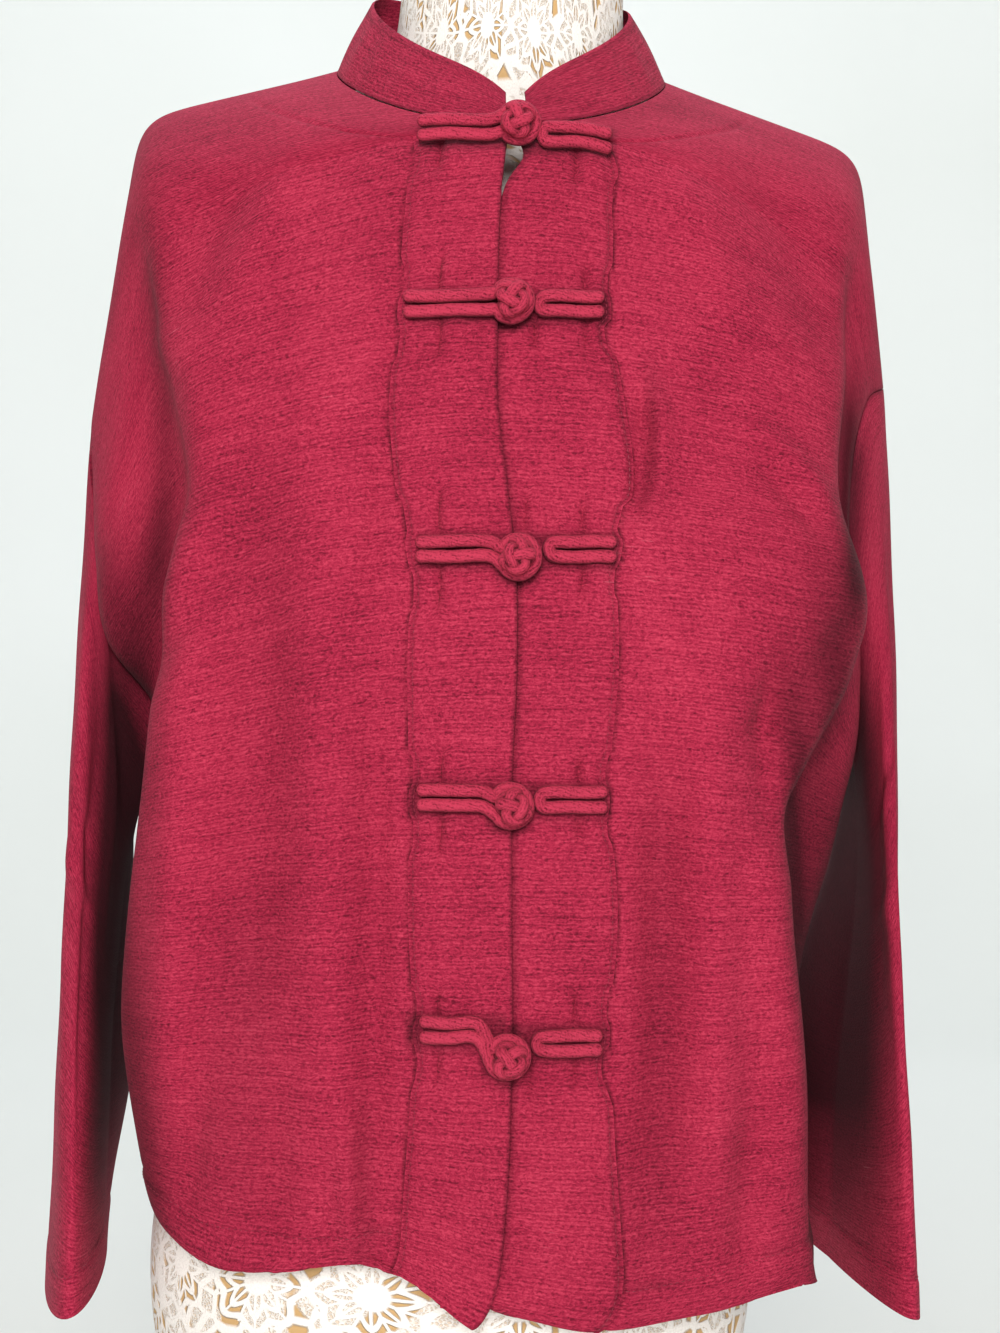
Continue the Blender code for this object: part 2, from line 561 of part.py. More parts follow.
def frog(number, upper, lower, cloth):
    """One closure: the doubled cord with its loop, the other doubled cord, and the knot."""
    loop_z, knot_z, bar_z, knot_x = FROGS[number]
    level = min(loop_z, knot_z) - LOOP_RADIUS
    _, normal, edge = on_band(upper, level, knot_x - 0.02)
    normal = flattened(normal)
    rest = CORD_HALF_HEIGHT + 3 * SEAM_GAP
    start = edge + FROG_END
    turns = np.radians(np.linspace(LOOP_OPEN, -LOOP_OPEN, 11))
    ring = [(knot_x + LOOP_RADIUS * cos(a), knot_z + LOOP_RADIUS * sin(a)) for a in turns]
    lane = knot_x - LOOP_RADIUS - LOOP_NECK
    flat = [(start, loop_z + CORD_LANE), ((start + lane) / 2, loop_z + CORD_LANE),
            (lane, loop_z + CORD_LANE)] + ring
    flat += [(lane, loop_z - CORD_LANE), ((start + lane) / 2, loop_z - CORD_LANE),
             (start, loop_z - CORD_LANE)]
    path = []
    for x, z in flat:
        point, _, _ = on_band(upper, level, min(x, knot_x - LOOP_RADIUS))
        path.append(np.array([x, point[1], z]) + normal * rest)
    tube(f"frog_loop_{number + 1}", path, normal, cloth)

    begin = knot_x + LOOP_RADIUS + CORD_HALF_WIDTH + BAR_GAP
    near, far = BAR_BEND
    level = bar_z - 2 * CORD_LANE
    _, normal_low, edge = on_band(lower, level, knot_x + 0.03)
    normal_low = flattened(normal_low)
    end = edge - FROG_END
    flat = [(end, bar_z + CORD_LANE), ((begin + end) / 2, bar_z + CORD_LANE),
            (begin + far, bar_z + CORD_LANE), (begin + near, bar_z + CORD_LANE * 0.8),
            (begin, bar_z), (begin + near, bar_z - CORD_LANE * 0.8),
            (begin + far, bar_z - CORD_LANE), ((begin + end) / 2, bar_z - CORD_LANE),
            (end, bar_z - CORD_LANE)]
    path = [np.array([x, on_band(lower, level, x)[0][1], z]) + normal_low * rest for x, z in flat]
    tube(f"frog_bar_{number + 1}", path, normal_low, cloth)
    level = min(loop_z, knot_z) - LOOP_RADIUS
    foot = np.array([knot_x, on_band(upper, level, knot_x)[0][1], knot_z])
    knot(f"knot_{number + 1}", foot, normal, cloth)


def knot(name, foot, normal, cloth, around=12, rings=6):
    """A flattened ball on a short shank that stands in its loop."""
    side = np.cross(normal, (0, 0, 1))
    side /= np.linalg.norm(side)
    rise = np.cross(side, normal)
    profile = [(SHANK_RADIUS, 4 * SEAM_GAP)]
    for k in range(1, rings + 1):
        turn = pi * k / (rings + 0.6)
        profile.append((KNOT_RADIUS * sin(turn), KNOT_HEIGHT - KNOT_HALF_HEIGHT * cos(turn)))
    points, faces = [], []
    for radius, height in profile:
        for k in range(around):
            turn = 2 * pi * k / around
            points.append(foot + normal * height + (side * cos(turn) + rise * sin(turn)) * radius)
    for r in range(len(profile) - 1):
        for c in range(around):
            d = (c + 1) % around
            a, b = r * around + c, r * around + d
            faces.append((a, b, b + around, a + around))
    last = (len(profile) - 1) * around
    faces += [tuple(range(around))[::-1], tuple(range(last, last + around))]
    add_object(name, points, faces, cloth)


def dress_form(cover):
    """The torso: oval sections, closed above and below, leaning to +X."""
    sides = 28
    lean = radians(LEAN)
    rings = []
    for height, half, front, back, square in FORM:
        turn = 2 * pi * np.arange(sides) / sides
        c, s = np.cos(turn), np.sin(turn)
        x = half * np.sign(c) * np.abs(c) ** (2 / square)
        y = np.where(s > 0, back, front) * np.sign(s) * np.abs(s) ** (2 / square)
        above = height - FORM[0, 0]
        rings.append(np.stack([x * cos(lean) + above * sin(lean), y,
                               above * cos(lean) - x * sin(lean) + FORM[0, 0]], axis=-1))
    grid = np.array(rings)
    grid[..., 0] += FORM_SHIFT
    faces = []
    for r in range(len(FORM) - 1):
        for c in range(sides):
            d = (c + 1) % sides
            a, b = r * sides + c, r * sides + d
            faces += [(a, b, b + sides), (a, b + sides, a + sides)]
    last = (len(FORM) - 1) * sides
    faces += [tuple(range(sides))[::-1], tuple(range(last, last + sides))]
    points = grid.reshape(-1, 3) + (0, 0, MARK)
    return add_object("form_torso", points, faces, cover)


def stand(metal):
    """A turned base with a socket, and the pole that carries the torso."""
    turned("form_base", BASE_PROFILE, metal)
    lowest = MARK + FORM[0, 0] - FORM[0, 1] * sin(radians(LEAN))
    turned("form_pole", [(POLE_RADIUS, BASE_PROFILE[-1][1] + SEAM_GAP),
                         (POLE_RADIUS, lowest - POLE_GAP)], metal, 16)


def raise_to_mark():
    """The tables' heights are from the mark, so the cloth goes up by it."""
    for made in bpy.data.objects:
        if not made.name.startswith("form_"):
            for vertex in made.data.vertices:
                vertex.co.z += MARK


def build():
    for old in list(bpy.data.objects):
        bpy.data.objects.remove(old, do_unlink=True)
    cloth = material("crinkled_cloth", (0.27, 0.012, 0.035), 0.85)
    trim = material("cloth_cord", (0.24, 0.010, 0.030), 0.85)
    cover = material("lace_cover", (0.80, 0.74, 0.66), 0.80)
    metal = material("painted_metal", (0.55, 0.55, 0.54), 0.45, 0.4)

    right, left, back = body_grids()
    holes = [(front[0].copy(), front[1]) for front in (right, left)]
    whole_back = (back[0].copy(), back[1])
    upper, lower = fronts(right, left, cloth)
    back_panel(back, cloth)
    sleeve("sleeve_right", -1, holes[0], whole_back, SLEEVE_RIGHT, cloth)
    sleeve("sleeve_left", 1, holes[1], whole_back, SLEEVE_LEFT, cloth)
    collar(cloth)
    band_right = band("placket_right", upper, 0, cloth)
    band_left = band("placket_left", lower, 1, cloth)
    for number in range(len(FROGS)):
        frog(number, band_right, band_left, trim)
    raise_to_mark()
    dress_form(cover)
    stand(metal)


build()
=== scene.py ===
from math import cos, pi, radians, sin

import bmesh
import bpy
import numpy as np
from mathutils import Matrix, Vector


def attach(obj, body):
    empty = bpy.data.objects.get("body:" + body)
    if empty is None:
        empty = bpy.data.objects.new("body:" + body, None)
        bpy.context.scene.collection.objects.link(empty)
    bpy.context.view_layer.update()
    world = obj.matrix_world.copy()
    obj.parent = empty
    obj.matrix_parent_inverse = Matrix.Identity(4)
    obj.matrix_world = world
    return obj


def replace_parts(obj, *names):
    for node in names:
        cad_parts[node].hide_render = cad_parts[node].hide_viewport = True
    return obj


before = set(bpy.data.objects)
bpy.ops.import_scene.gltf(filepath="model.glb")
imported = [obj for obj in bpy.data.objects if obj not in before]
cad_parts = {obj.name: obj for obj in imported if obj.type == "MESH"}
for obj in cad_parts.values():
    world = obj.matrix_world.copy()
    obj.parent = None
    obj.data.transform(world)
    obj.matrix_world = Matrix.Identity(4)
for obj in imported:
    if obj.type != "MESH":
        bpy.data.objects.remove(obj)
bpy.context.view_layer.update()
mark = 0.530            # the jacket's tables are heights from the torso's middle
gap = 0.0003            # between one piece and the next
seamGap = 0.0002        # how far a cloth edge draws back from its seam


# A hex colour as linear light: ((c + 0.055) / 1.055) ^ 2.4 above 0.04045, c / 12.92 below.
def linear(code):
    parts = np.array([int(code[k:k + 2], 16) / 255 for k in (1, 3, 5)])
    light = np.where(parts > 0.04045, ((parts + 0.055) / 1.055) ** 2.4, parts / 12.92)
    return (*light.tolist(), 1.0)


# Catmull-Rom curve through a table's rows: with a, b, c, d the four rows about the place,
# half of 2b + (c - a)t + (2a - 5b + 4c - d)t^2 + (3b - a - 3c + d)t^3.
def curveThrough(table, at):
    at = np.atleast_1d(at)
    last = len(table) - 1
    k = np.clip(np.floor(at).astype(int), 0, last - 1)
    t = (at - k)[:, None]
    a, b = table[np.clip(k - 1, 0, last)], table[k]
    c, d = table[k + 1], table[np.clip(k + 2, 0, last)]
    return 0.5 * (2 * b + (c - a) * t + (2 * a - 5 * b + 4 * c - d) * t ** 2
                  + (3 * b - a - 3 * c + d) * t ** 3)


# Cubic between samples of a function, with slopes from their neighbours:
# (2t^3 - 3t^2 + 1)y0 + (t^3 - 2t^2 + t)h s0 + (3t^2 - 2t^3)y1 + (t^3 - t^2)h s1.
def readSmooth(x, xs, ys):
    xs, ys = np.asarray(xs, float), np.asarray(ys, float)
    slope = np.gradient(ys, xs)
    k = np.clip(np.searchsorted(xs, x) - 1, 0, len(xs) - 2)
    h = xs[k + 1] - xs[k]
    t = np.clip((x - xs[k]) / h, 0, 1)
    return ((2 * t ** 3 - 3 * t ** 2 + 1) * ys[k] + (t ** 3 - 2 * t ** 2 + t) * h * slope[k]
            + (3 * t ** 2 - 2 * t ** 3) * ys[k + 1] + (t ** 3 - t ** 2) * h * slope[k + 1])


# A soft step: 3s^2 - 2s^3 between the two ends.
def softStep(value, low, high):
    s = np.clip((value - low) / (high - low), 0, 1)
    return s * s * (3 - 2 * s)


# Unit normals of a grid: the cross product of its two directions, turned towards a side.
def gridNormals(grid, towards):
    n = np.cross(np.gradient(grid, axis=0), np.gradient(grid, axis=1))
    n /= np.linalg.norm(n, axis=-1, keepdims=True) + 1e-12
    return n * np.sign((n * towards).sum(axis=-1).mean())


# Running length along each row of a grid: the sum of its steps.
def runOf(grid, axis=1):
    step = np.linalg.norm(np.diff(grid, axis=axis), axis=-1)
    first = np.zeros_like(step.take([0], axis=axis))
    return np.concatenate([first, np.cumsum(step, axis=axis)], axis=axis)


# Rows read again at given lengths along each of them, straight between neighbours.
def readRows(grid, lengths):
    run = runOf(grid)
    out = np.empty((len(grid), lengths.shape[1], grid.shape[2]))
    for r in range(len(grid)):
        for k in range(grid.shape[2]):
            out[r, :, k] = np.interp(lengths[r], run[r], grid[r, :, k])
    return out


# How far folds stand out at points of a plane. Each fold is a line from one point to
# another with a bow, and adds depth * e^-(distance / width)^2, fading at its two ends.
def foldsAt(a, b, folds):
    total = np.zeros_like(a)
    for a0, b0, a1, b1, width, depth, bow in folds:
        along = np.array([a1 - a0, b1 - b0])
        length = np.hypot(*along)
        way = along / length
        t = ((a - a0) * way[0] + (b - b0) * way[1]) / length
        inside = np.clip(t, 0, 1)
        off = -(a - a0) * way[1] + (b - b0) * way[0] - bow * 4 * inside * (1 - inside)
        beyond = (t - inside) * length
        fade = softStep(np.minimum(inside, 1 - inside), -0.02, 0.30)
        total += depth * np.exp(-(off ** 2 + beyond ** 2) / width ** 2) * fade
    return total


# A mesh object from points and faces, with a UV map in metres of cloth and an optional painted shade per
# point, faces outwards.
def makeMesh(name, points, faces, uvs, stuff, sharp=60, shade=None):
    mesh = bpy.data.meshes.new(name)
    mesh.from_pydata(np.asarray(points).tolist(), [], faces)
    if uvs is not None:
        layer = mesh.uv_layers.new(name="cloth")
        layer.data.foreach_set("uv", np.asarray(uvs, np.float32).ravel())
    if shade is not None:
        layer = mesh.attributes.new("shade", "FLOAT", "POINT")
        layer.data.foreach_set("value", np.asarray(shade, np.float32))
    work = bmesh.new()
    work.from_mesh(mesh)
    bmesh.ops.recalc_face_normals(work, faces=work.faces)
    if work.calc_volume(signed=True) < 0:
        bmesh.ops.reverse_faces(work, faces=work.faces)
    work.to_mesh(mesh)
    work.free()
    mesh.shade_smooth()
    mesh.set_sharp_from_angle(angle=radians(sharp))
    mesh.materials.append(stuff)
    made = bpy.data.objects.new(name, mesh)
    bpy.context.scene.collection.objects.link(made)
    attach(made, "root")
    return made


# A thin closed cloth shell between two grids, with a rounded edge: each rim has a middle
# line, half way between the faces and moved out along the cloth by a share of the wall.
def clothShell(name, outer, inner, uv, stuff, index=None, skip=None, shade=None):
    rows, columns = outer.shape[:2]
    if index is None:
        index = np.arange(rows * columns).reshape(rows, columns)
    a, b, c, d = index[:-1, :-1], index[:-1, 1:], index[1:, 1:], index[1:, :-1]
    corners = np.stack([a, d, c, b], axis=-1)
    cornerUv = np.stack([uv[:-1, :-1], uv[1:, :-1], uv[1:, 1:], uv[:-1, 1:]], axis=2)
    if skip is not None:
        corners = np.delete(corners, skip, axis=1)
        cornerUv = np.delete(cornerUv, skip, axis=1)
    quads = corners.reshape(-1, 4)
    quadUv = cornerUv.reshape(-1, 4, 2)
    tails = quads.ravel()
    heads = np.roll(quads, -1, axis=1).ravel()
    tailUv = quadUv.reshape(-1, 2)
    headUv = np.roll(quadUv, -1, axis=1).reshape(-1, 2)
    size = rows * columns
    forward = tails.astype(np.int64) * size + heads
    rim = ~np.isin(forward, heads.astype(np.int64) * size + tails)
    start, end = tails[rim], heads[rim]
    points = [outer.reshape(-1, 3), inner.reshape(-1, 3)]
    middle = (points[0] + points[1]) / 2
    wall = points[0] - points[1]
    edge = middle[end] - middle[start]
    away = np.cross(edge, wall[start])
    away /= np.linalg.norm(away, axis=1, keepdims=True) + 1e-12
    push = np.zeros_like(middle)
    np.add.at(push, start, away)
    np.add.at(push, end, away)
    push /= np.linalg.norm(push, axis=1, keepdims=True) + 1e-12
    middle = middle + push * 0.12 * np.linalg.norm(wall, axis=1, keepdims=True)
    allPoints = np.concatenate(points + [middle]) + (0, 0, mark)
    upper = np.stack([end, start, start + 2 * size, end + 2 * size], axis=1)
    lower = np.stack([end + 2 * size, start + 2 * size, start + size, end + size], axis=1)
    rimUv = np.stack([headUv[rim], tailUv[rim], tailUv[rim], headUv[rim]], axis=1)
    faces = np.concatenate([quads, quads[:, ::-1] + size, upper, lower])
    faceUv = np.concatenate([quadUv, quadUv[:, ::-1], rimUv, rimUv])
    used = np.unique(faces)
    place = np.zeros(len(allPoints), int)
    place[used] = np.arange(len(used))
    # Painted shade per point, the same on the outer face, the inner face and the rim.
    paintedShade = np.zeros(len(allPoints)) if shade is None else np.tile(np.ravel(shade), 3)
    return makeMesh(name, allPoints[used], place[faces].tolist(), faceUv, stuff, shade=paintedShade[used])


# The faces of a tube of rings: quads between each ring and the next, and both ends closed.
def tubeFaces(rows, sides):
    index = np.arange(rows * sides).reshape(rows, sides)
    index = np.concatenate([index, index[:, :1]], axis=1)
    quads = np.stack([index[:-1, :-1], index[1:, :-1], index[1:, 1:], index[:-1, 1:]], axis=-1)
    last = (rows - 1) * sides
    ends = [list(range(sides))[::-1], list(range(last, last + sides))]
    return quads.reshape(-1, 4).tolist() + ends


# One node with its settings and its links, each by the name or number of an input.
def addNode(tree, kind, settings=None, links=None):
    node = tree.nodes.new(kind)
    for key, value in (settings or {}).items():
        if isinstance(key, int) or key in node.inputs:
            node.inputs[key].default_value = value
        else:
            setattr(node, key, value)
    for key, socket in (links or {}).items():
        tree.links.new(socket, node.inputs[key])
    return node


# An empty node material with its shader and output.
def newMaterial(name):
    made = bpy.data.materials.new(name)
    made.use_nodes = True
    tree = made.node_tree
    tree.nodes.clear()
    shader = addNode(tree, "ShaderNodeBsdfPrincipled")
    addNode(tree, "ShaderNodeOutputMaterial", links={"Surface": shader.outputs[0]})
    return made, tree, shader


# A colour ramp through (place, hex) stops.
def addRamp(tree, stops, source):
    ramp = addNode(tree, "ShaderNodeValToRGB", links={"Fac": source})
    while len(ramp.color_ramp.elements) < len(stops):
        ramp.color_ramp.elements.new(0.5)
    for element, (place, code) in zip(ramp.color_ramp.elements, stops):
        element.position = place
        element.color = linear(code)
    return ramp


crepeValues = {
    "deep": "#660C25", "middle": "#A02040", "light": "#C23A56", "pale": "#E58C9B",
    # depth: the dark colour that the painted shade mixes in
    "depth": "#1E0209",
    "grain": (560.0, 700.0, 1.0),       # crinkles per metre across and along: about 1.6 mm
    "thread": (1500.0, 2300.0, 1.0), "lines": 160.0,
    "slub": (34.0, 900.0, 1.0),         # streaks about 30 mm long and 1.1 mm tall
    "longSlub": (12.0, 330.0, 1.0),
    "patch": (14.0, 11.0, 1.0),
    "bump": 0.75, "relief": 0.00060, "roughness": 0.88, "sheen": 0.068,
}


# Crepe weave: the eye reads a matt cloth with a fine dark-and-light crinkle, crossed by long
# thin slubs of the weft; tone = crinkle + threads + slubs, and the same sum is its relief.
def crepeMaterial(name, v):
    made, tree, shader = newMaterial(name)
    place = addNode(tree, "ShaderNodeUVMap", {"uv_map": "cloth"}).outputs["UV"]
    layers = {}
    for key, detail, twist in (("grain", 2.0, 0.9), ("thread", 1.0, 0.2), ("slub", 3.0, 0.25),
                               ("longSlub", 2.0, 0.3), ("patch", 3.0, 0.6)):
        mapped = addNode(tree, "ShaderNodeMapping", {"Scale": v[key]}, {"Vector": place})
        noise = addNode(tree, "ShaderNodeTexNoise",
                        {"Scale": 1.0, "Detail": detail, "Roughness": 0.55, "Distortion": twist},
                        {"Vector": mapped.outputs[0]})
        layers[key] = noise.outputs["Fac"]
    total = None
    # Crepe twist: broken wavy lines about 2 mm apart, near level, bent into short zig-zags.
    lines = addNode(tree, "ShaderNodeMapping", {"Scale": (0.55, 1.0, 1.0)}, {"Vector": place})
    twist = addNode(tree, "ShaderNodeTexWave",
                    {"bands_direction": "Y", "Scale": v["lines"], "Distortion": 7.0, "Detail": 2.0,
                     "Detail Scale": 1.6, "Detail Roughness": 0.6}, {"Vector": lines.outputs[0]})
    layers["twist"] = twist.outputs["Fac"]
    for key, weight in (("grain", 1.05), ("thread", 0.40), ("slub", 0.40), ("longSlub", 0.28),
                        ("patch", 0.40), ("twist", 0.18)):
        centred = addNode(tree, "ShaderNodeMath", {"operation": "SUBTRACT", 1: 0.5},
                          {0: layers[key]})
        scaled = addNode(tree, "ShaderNodeMath", {"operation": "MULTIPLY", 1: weight},
                         {0: centred.outputs[0]})
        if total is None:
            total = scaled.outputs[0]
        else:
            total = addNode(tree, "ShaderNodeMath", {"operation": "ADD"},
                            {0: total, 1: scaled.outputs[0]}).outputs[0]
    level = addNode(tree, "ShaderNodeMath", {"operation": "ADD", 1: 0.5}, {0: total})
    ramp = addRamp(tree, [(0.18, v["deep"]), (0.50, v["middle"]), (0.82, v["light"])],
                   level.outputs[0])
    # Now and then a slub is a pale pull: where the slub and the patch layers are both high.
    pulled = addNode(tree, "ShaderNodeMath", {"operation": "MULTIPLY"},
                     {0: layers["slub"], 1: layers["patch"]})
    pullShare = addNode(tree, "ShaderNodeMapRange",
                        {"From Min": 0.445, "From Max": 0.53, "To Min": 0.0, "To Max": 0.65},
                        {"Value": pulled.outputs[0]})
    colour = addNode(tree, "ShaderNodeMix", {"data_type": "RGBA", 7: linear(v["pale"])},
                     {0: pullShare.outputs[0], 6: ramp.outputs["Color"]})
    # Painted shade: each piece's shade attribute mixes in the dark depth colour where shade falls, along
    # seams and edges, in the depths of folds, beside ridges, under the arms and about the frogs.
    held = addNode(tree, "ShaderNodeAttribute", {"attribute_name": "shade"})
    colour = addNode(tree, "ShaderNodeMix", {"data_type": "RGBA", 7: linear(v["depth"])},
                     {0: held.outputs["Fac"], 6: colour.outputs[2]})
    raised = addNode(tree, "ShaderNodeBump", {"Strength": v["bump"], "Distance": v["relief"]},
                     {"Height": level.outputs[0]})
    tree.links.new(colour.outputs[2], shader.inputs["Base Color"])
    tree.links.new(raised.outputs[0], shader.inputs["Normal"])
    shader.inputs["Roughness"].default_value = v["roughness"]
    shader.inputs["Sheen Weight"].default_value = v["sheen"]
    shader.inputs["Sheen Roughness"].default_value = 0.45
    shader.inputs["Sheen Tint"].default_value = linear("#F0A0AE")
    shader.inputs["Specular IOR Level"].default_value = 0.18
    return made


crepe = crepeMaterial("crinkled linen crepe", crepeValues)
cordValues = dict(crepeValues, grain=(900.0, 1100.0, 1.0), bump=0.8, slub=(90.0, 700.0, 1.0),
                  middle="#BA3450")
cordCrepe = crepeMaterial("bias crepe over cord", cordValues)
print("cloth materials made")

panel = {
    "neckX": 0.0266, "neckHalf": 0.0900, "neckFront": 0.0850, "neckBack": 0.0700,
    "neckHeight": 0.3245, "neckTilt": 0.034, "neckSlope": 0.467, "bendFront": 1.5, "bendBack": 4.0,
    "cloth": 0.0012, "bandCloth": 0.0010, "lapLift": 0.0034, "lap": 0.012, "lapFade": 0.060,
    "square": 2 / 2.3, "droop": 0.4, "points": 240, "passes": 126, "roundPasses": 95,
    "relief": 2.8, "pinch": 1.7, "bandStep": 0.0012,
    "rows": 231, "columns": 131, "underarm": 5, "hem": 8, "neck": 2, "backNeck": 1,
}

# For each row from the shoulder to the hem: centre height and Y; fold X, Y, Z; seam X, Y, Z;
# and how deep the cloth swings in between the fold and the seam.
frontRight = np.array([
    (0.3245, 0.000, -0.1720, 0.000, 0.3020, -0.1960, 0.000, 0.1530, 0.00),
    (0.2950, -0.055, -0.1670, -0.040, 0.2640, -0.1945, -0.022, 0.1280, 0.03),
    (0.2720, -0.086, -0.1570, -0.058, 0.2150, -0.1905, -0.036, 0.0950, 0.06),
    (0.1900, -0.108, -0.1480, -0.074, 0.1500, -0.1860, -0.046, 0.0520, 0.14),
    (0.1100, -0.122, -0.1370, -0.088, 0.0840, -0.1800, -0.044, 0.0120, 0.19),
    (0.0400, -0.127, -0.1450, -0.088, 0.0060, -0.1580, 0.000, -0.0350, 0.17),
    (-0.0600, -0.127, -0.1590, -0.076, -0.0850, -0.1680, 0.000, -0.1080, 0.08),
    (-0.1800, -0.126, -0.1690, -0.066, -0.1850, -0.1785, 0.000, -0.1900, 0.07),
    (-0.3190, -0.126, -0.1510, -0.060, -0.2900, -0.1640, 0.000, -0.2760, 0.06),
])
frontLeft = np.array([
    (0.3245, 0.000, 0.2240, 0.000, 0.2820, 0.2370, 0.000, 0.1530, 0.00),
    (0.2950, -0.055, 0.2170, -0.040, 0.2450, 0.2310, -0.025, 0.1490, 0.03),
    (0.2720, -0.086, 0.2080, -0.054, 0.2000, 0.2200, -0.040, 0.1400, 0.05),
    (0.1900, -0.108, 0.2050, -0.062, 0.1500, 0.2110, -0.046, 0.1080, 0.06),
    (0.1100, -0.122, 0.1995, -0.070, 0.0880, 0.2100, -0.040, 0.0600, 0.08),
    (0.0400, -0.127, 0.2130, -0.074, 0.0200, 0.2200, 0.000, -0.0300, 0.13),
    (-0.0600, -0.127, 0.1680, -0.098, -0.0700, 0.2110, 0.000, -0.0850, 0.18),
    (-0.1800, -0.126, 0.1730, -0.088, -0.1750, 0.1870, 0.000, -0.1860, 0.14),
    (-0.3190, -0.124, 0.1880, -0.070, -0.3120, 0.1960, 0.000, -0.3060, 0.07),
])
backMiddle = np.array([
    (0.3245, 0.000), (0.3376, 0.070), (0.2850, 0.094), (0.2100, 0.106), (0.1250, 0.109),
    (0.0350, 0.111), (-0.0650, 0.116), (-0.1850, 0.122), (-0.3120, 0.128),
])
hemRight = ((0.00, -0.3190), (0.21, -0.2850), (0.40, -0.2945), (0.52, -0.2960), (0.65, -0.2830),
            (0.80, -0.2680), (1.00, -0.2500))
hemLeft = ((0.00, -0.3050), (0.22, -0.3220), (0.42, -0.3160), (0.62, -0.3100), (0.85, -0.3180),
           (1.00, -0.3060))
# The opening from the top: height, X of its edge, the right and the left band's width.
placket = np.array([
    (0.275, 0.0312, 0.048, 0.047), (0.225, 0.0262, 0.048, 0.056),
    (0.170, 0.0249, 0.050, 0.056), (0.130, 0.0246, 0.053, 0.062),
    (0.090, 0.0290, 0.054, 0.062), (0.050, 0.0335, 0.052, 0.050),
    (0.000, 0.0342, 0.053, 0.049), (-0.055, 0.0317, 0.050, 0.047),
    (-0.120, 0.0316, 0.050, 0.051), (-0.180, 0.0318, 0.048, 0.047),
    (-0.250, 0.0285, 0.050, 0.054), (-0.285, 0.0240, 0.050, 0.060),
    (-0.320, 0.0120, 0.050, 0.066),
])

# Folds of the two fronts, seen from the front: X and height of both ends, half width,
# how far it stands out (in is negative) and its bow, in metres.
foldsRight = [
    (-0.098, 0.150, -0.105, -0.240, 0.020, -0.0030, 0.006),
    (-0.060, 0.090, -0.052, -0.280, 0.017, 0.0026, -0.004),
    (-0.036, 0.020, -0.039, -0.285, 0.009, -0.0022, 0.002),
    (-0.128, 0.060, -0.140, -0.250, 0.016, 0.0030, 0.003),
    (-0.150, 0.170, -0.138, 0.060, 0.011, -0.0020, 0.004),
    (-0.148, 0.010, -0.090, 0.110, 0.009, 0.0011, 0.006),
    (-0.150, -0.020, -0.100, 0.060, 0.008, -0.0011, 0.005),
    (-0.110, 0.260, -0.150, 0.160, 0.016, -0.0014, 0.004),
    (-0.068, 0.275, -0.110, 0.170, 0.014, 0.0012, -0.005),
    (-0.028, 0.120, -0.040, 0.020, 0.006, -0.0012, 0.000),
    (-0.120, -0.150, -0.135, -0.285, 0.010, -0.0020, 0.002),
    (-0.080, -0.190, -0.084, -0.290, 0.010, -0.0016, -0.002),
    (-0.048, -0.215, -0.046, -0.290, 0.006, 0.0018, 0.000),
]
foldsLeft = [
    (0.093, 0.140, 0.090, 0.070, 0.006, -0.0024, 0.006),
    (0.100, 0.150, 0.094, 0.060, 0.006, 0.0016, 0.006),
    (0.104, -0.020, 0.102, -0.290, 0.013, -0.0030, 0.003),
    (0.128, 0.020, 0.136, -0.280, 0.015, 0.0030, -0.003),
    (0.152, -0.010, 0.176, -0.290, 0.012, 0.0030, -0.004),
    (0.168, 0.020, 0.158, -0.110, 0.010, -0.0030, -0.006),
    (0.208, 0.035, 0.130, -0.045, 0.009, -0.0014, 0.010),
    (0.204, 0.020, 0.150, -0.075, 0.008, 0.0014, 0.008),
    (0.196, 0.070, 0.140, 0.125, 0.007, 0.0012, -0.006),
    (0.190, 0.058, 0.145, 0.105, 0.006, -0.0010, -0.004),
    (0.150, 0.270, 0.196, 0.150, 0.015, -0.0014, 0.004),
    (0.110, 0.255, 0.150, 0.150, 0.015, 0.0012, 0.004),
    (0.078, -0.205, 0.088, -0.310, 0.007, 0.0018, 0.000),
    (0.150, -0.210, 0.146, -0.310, 0.010, -0.0018, 0.000),
]
foldsBack = [
    (-0.080, 0.240, -0.104, -0.280, 0.020, -0.0034, 0.010),
    (-0.030, 0.120, -0.036, -0.300, 0.018, 0.0032, -0.004),
    (0.020, 0.160, 0.016, -0.300, 0.014, -0.0028, 0.005),
    (0.072, 0.180, 0.080, -0.300, 0.019, 0.0034, 0.003),
    (0.122, 0.140, 0.130, -0.290, 0.016, -0.0030, -0.005),
    (0.190, 0.060, 0.120, -0.020, 0.010, 0.0016, 0.008),
    (-0.150, 0.040, -0.090, -0.040, 0.010, 0.0016, -0.008),
    (-0.150, 0.190, -0.060, 0.150, 0.012, 0.0012, 0.006),
    (0.190, 0.200, 0.090, 0.165, 0.012, -0.0012, -0.006),
]
# Short pinches of the cloth where each frog is tacked down: X, height, length up, length down.
pinches = [
    (-0.003, 0.1768, 0.020, 0.022), (0.068, 0.1768, 0.016, 0.020), (0.043, 0.1768, 0.000, 0.016),
    (-0.003, 0.0563, 0.024, 0.026), (0.066, 0.0563, 0.020, 0.018), (0.038, 0.0563, 0.022, 0.000),
    (-0.002, -0.0640, 0.018, 0.022), (0.064, -0.0640, 0.016, 0.016),
    (-0.004, -0.1770, 0.016, 0.020), (0.062, -0.1790, 0.020, 0.018), (0.040, -0.1790, 0.0, 0.026),
    (-0.004, 0.2680, 0.000, 0.016), (0.064, 0.2650, 0.000, 0.020),
]
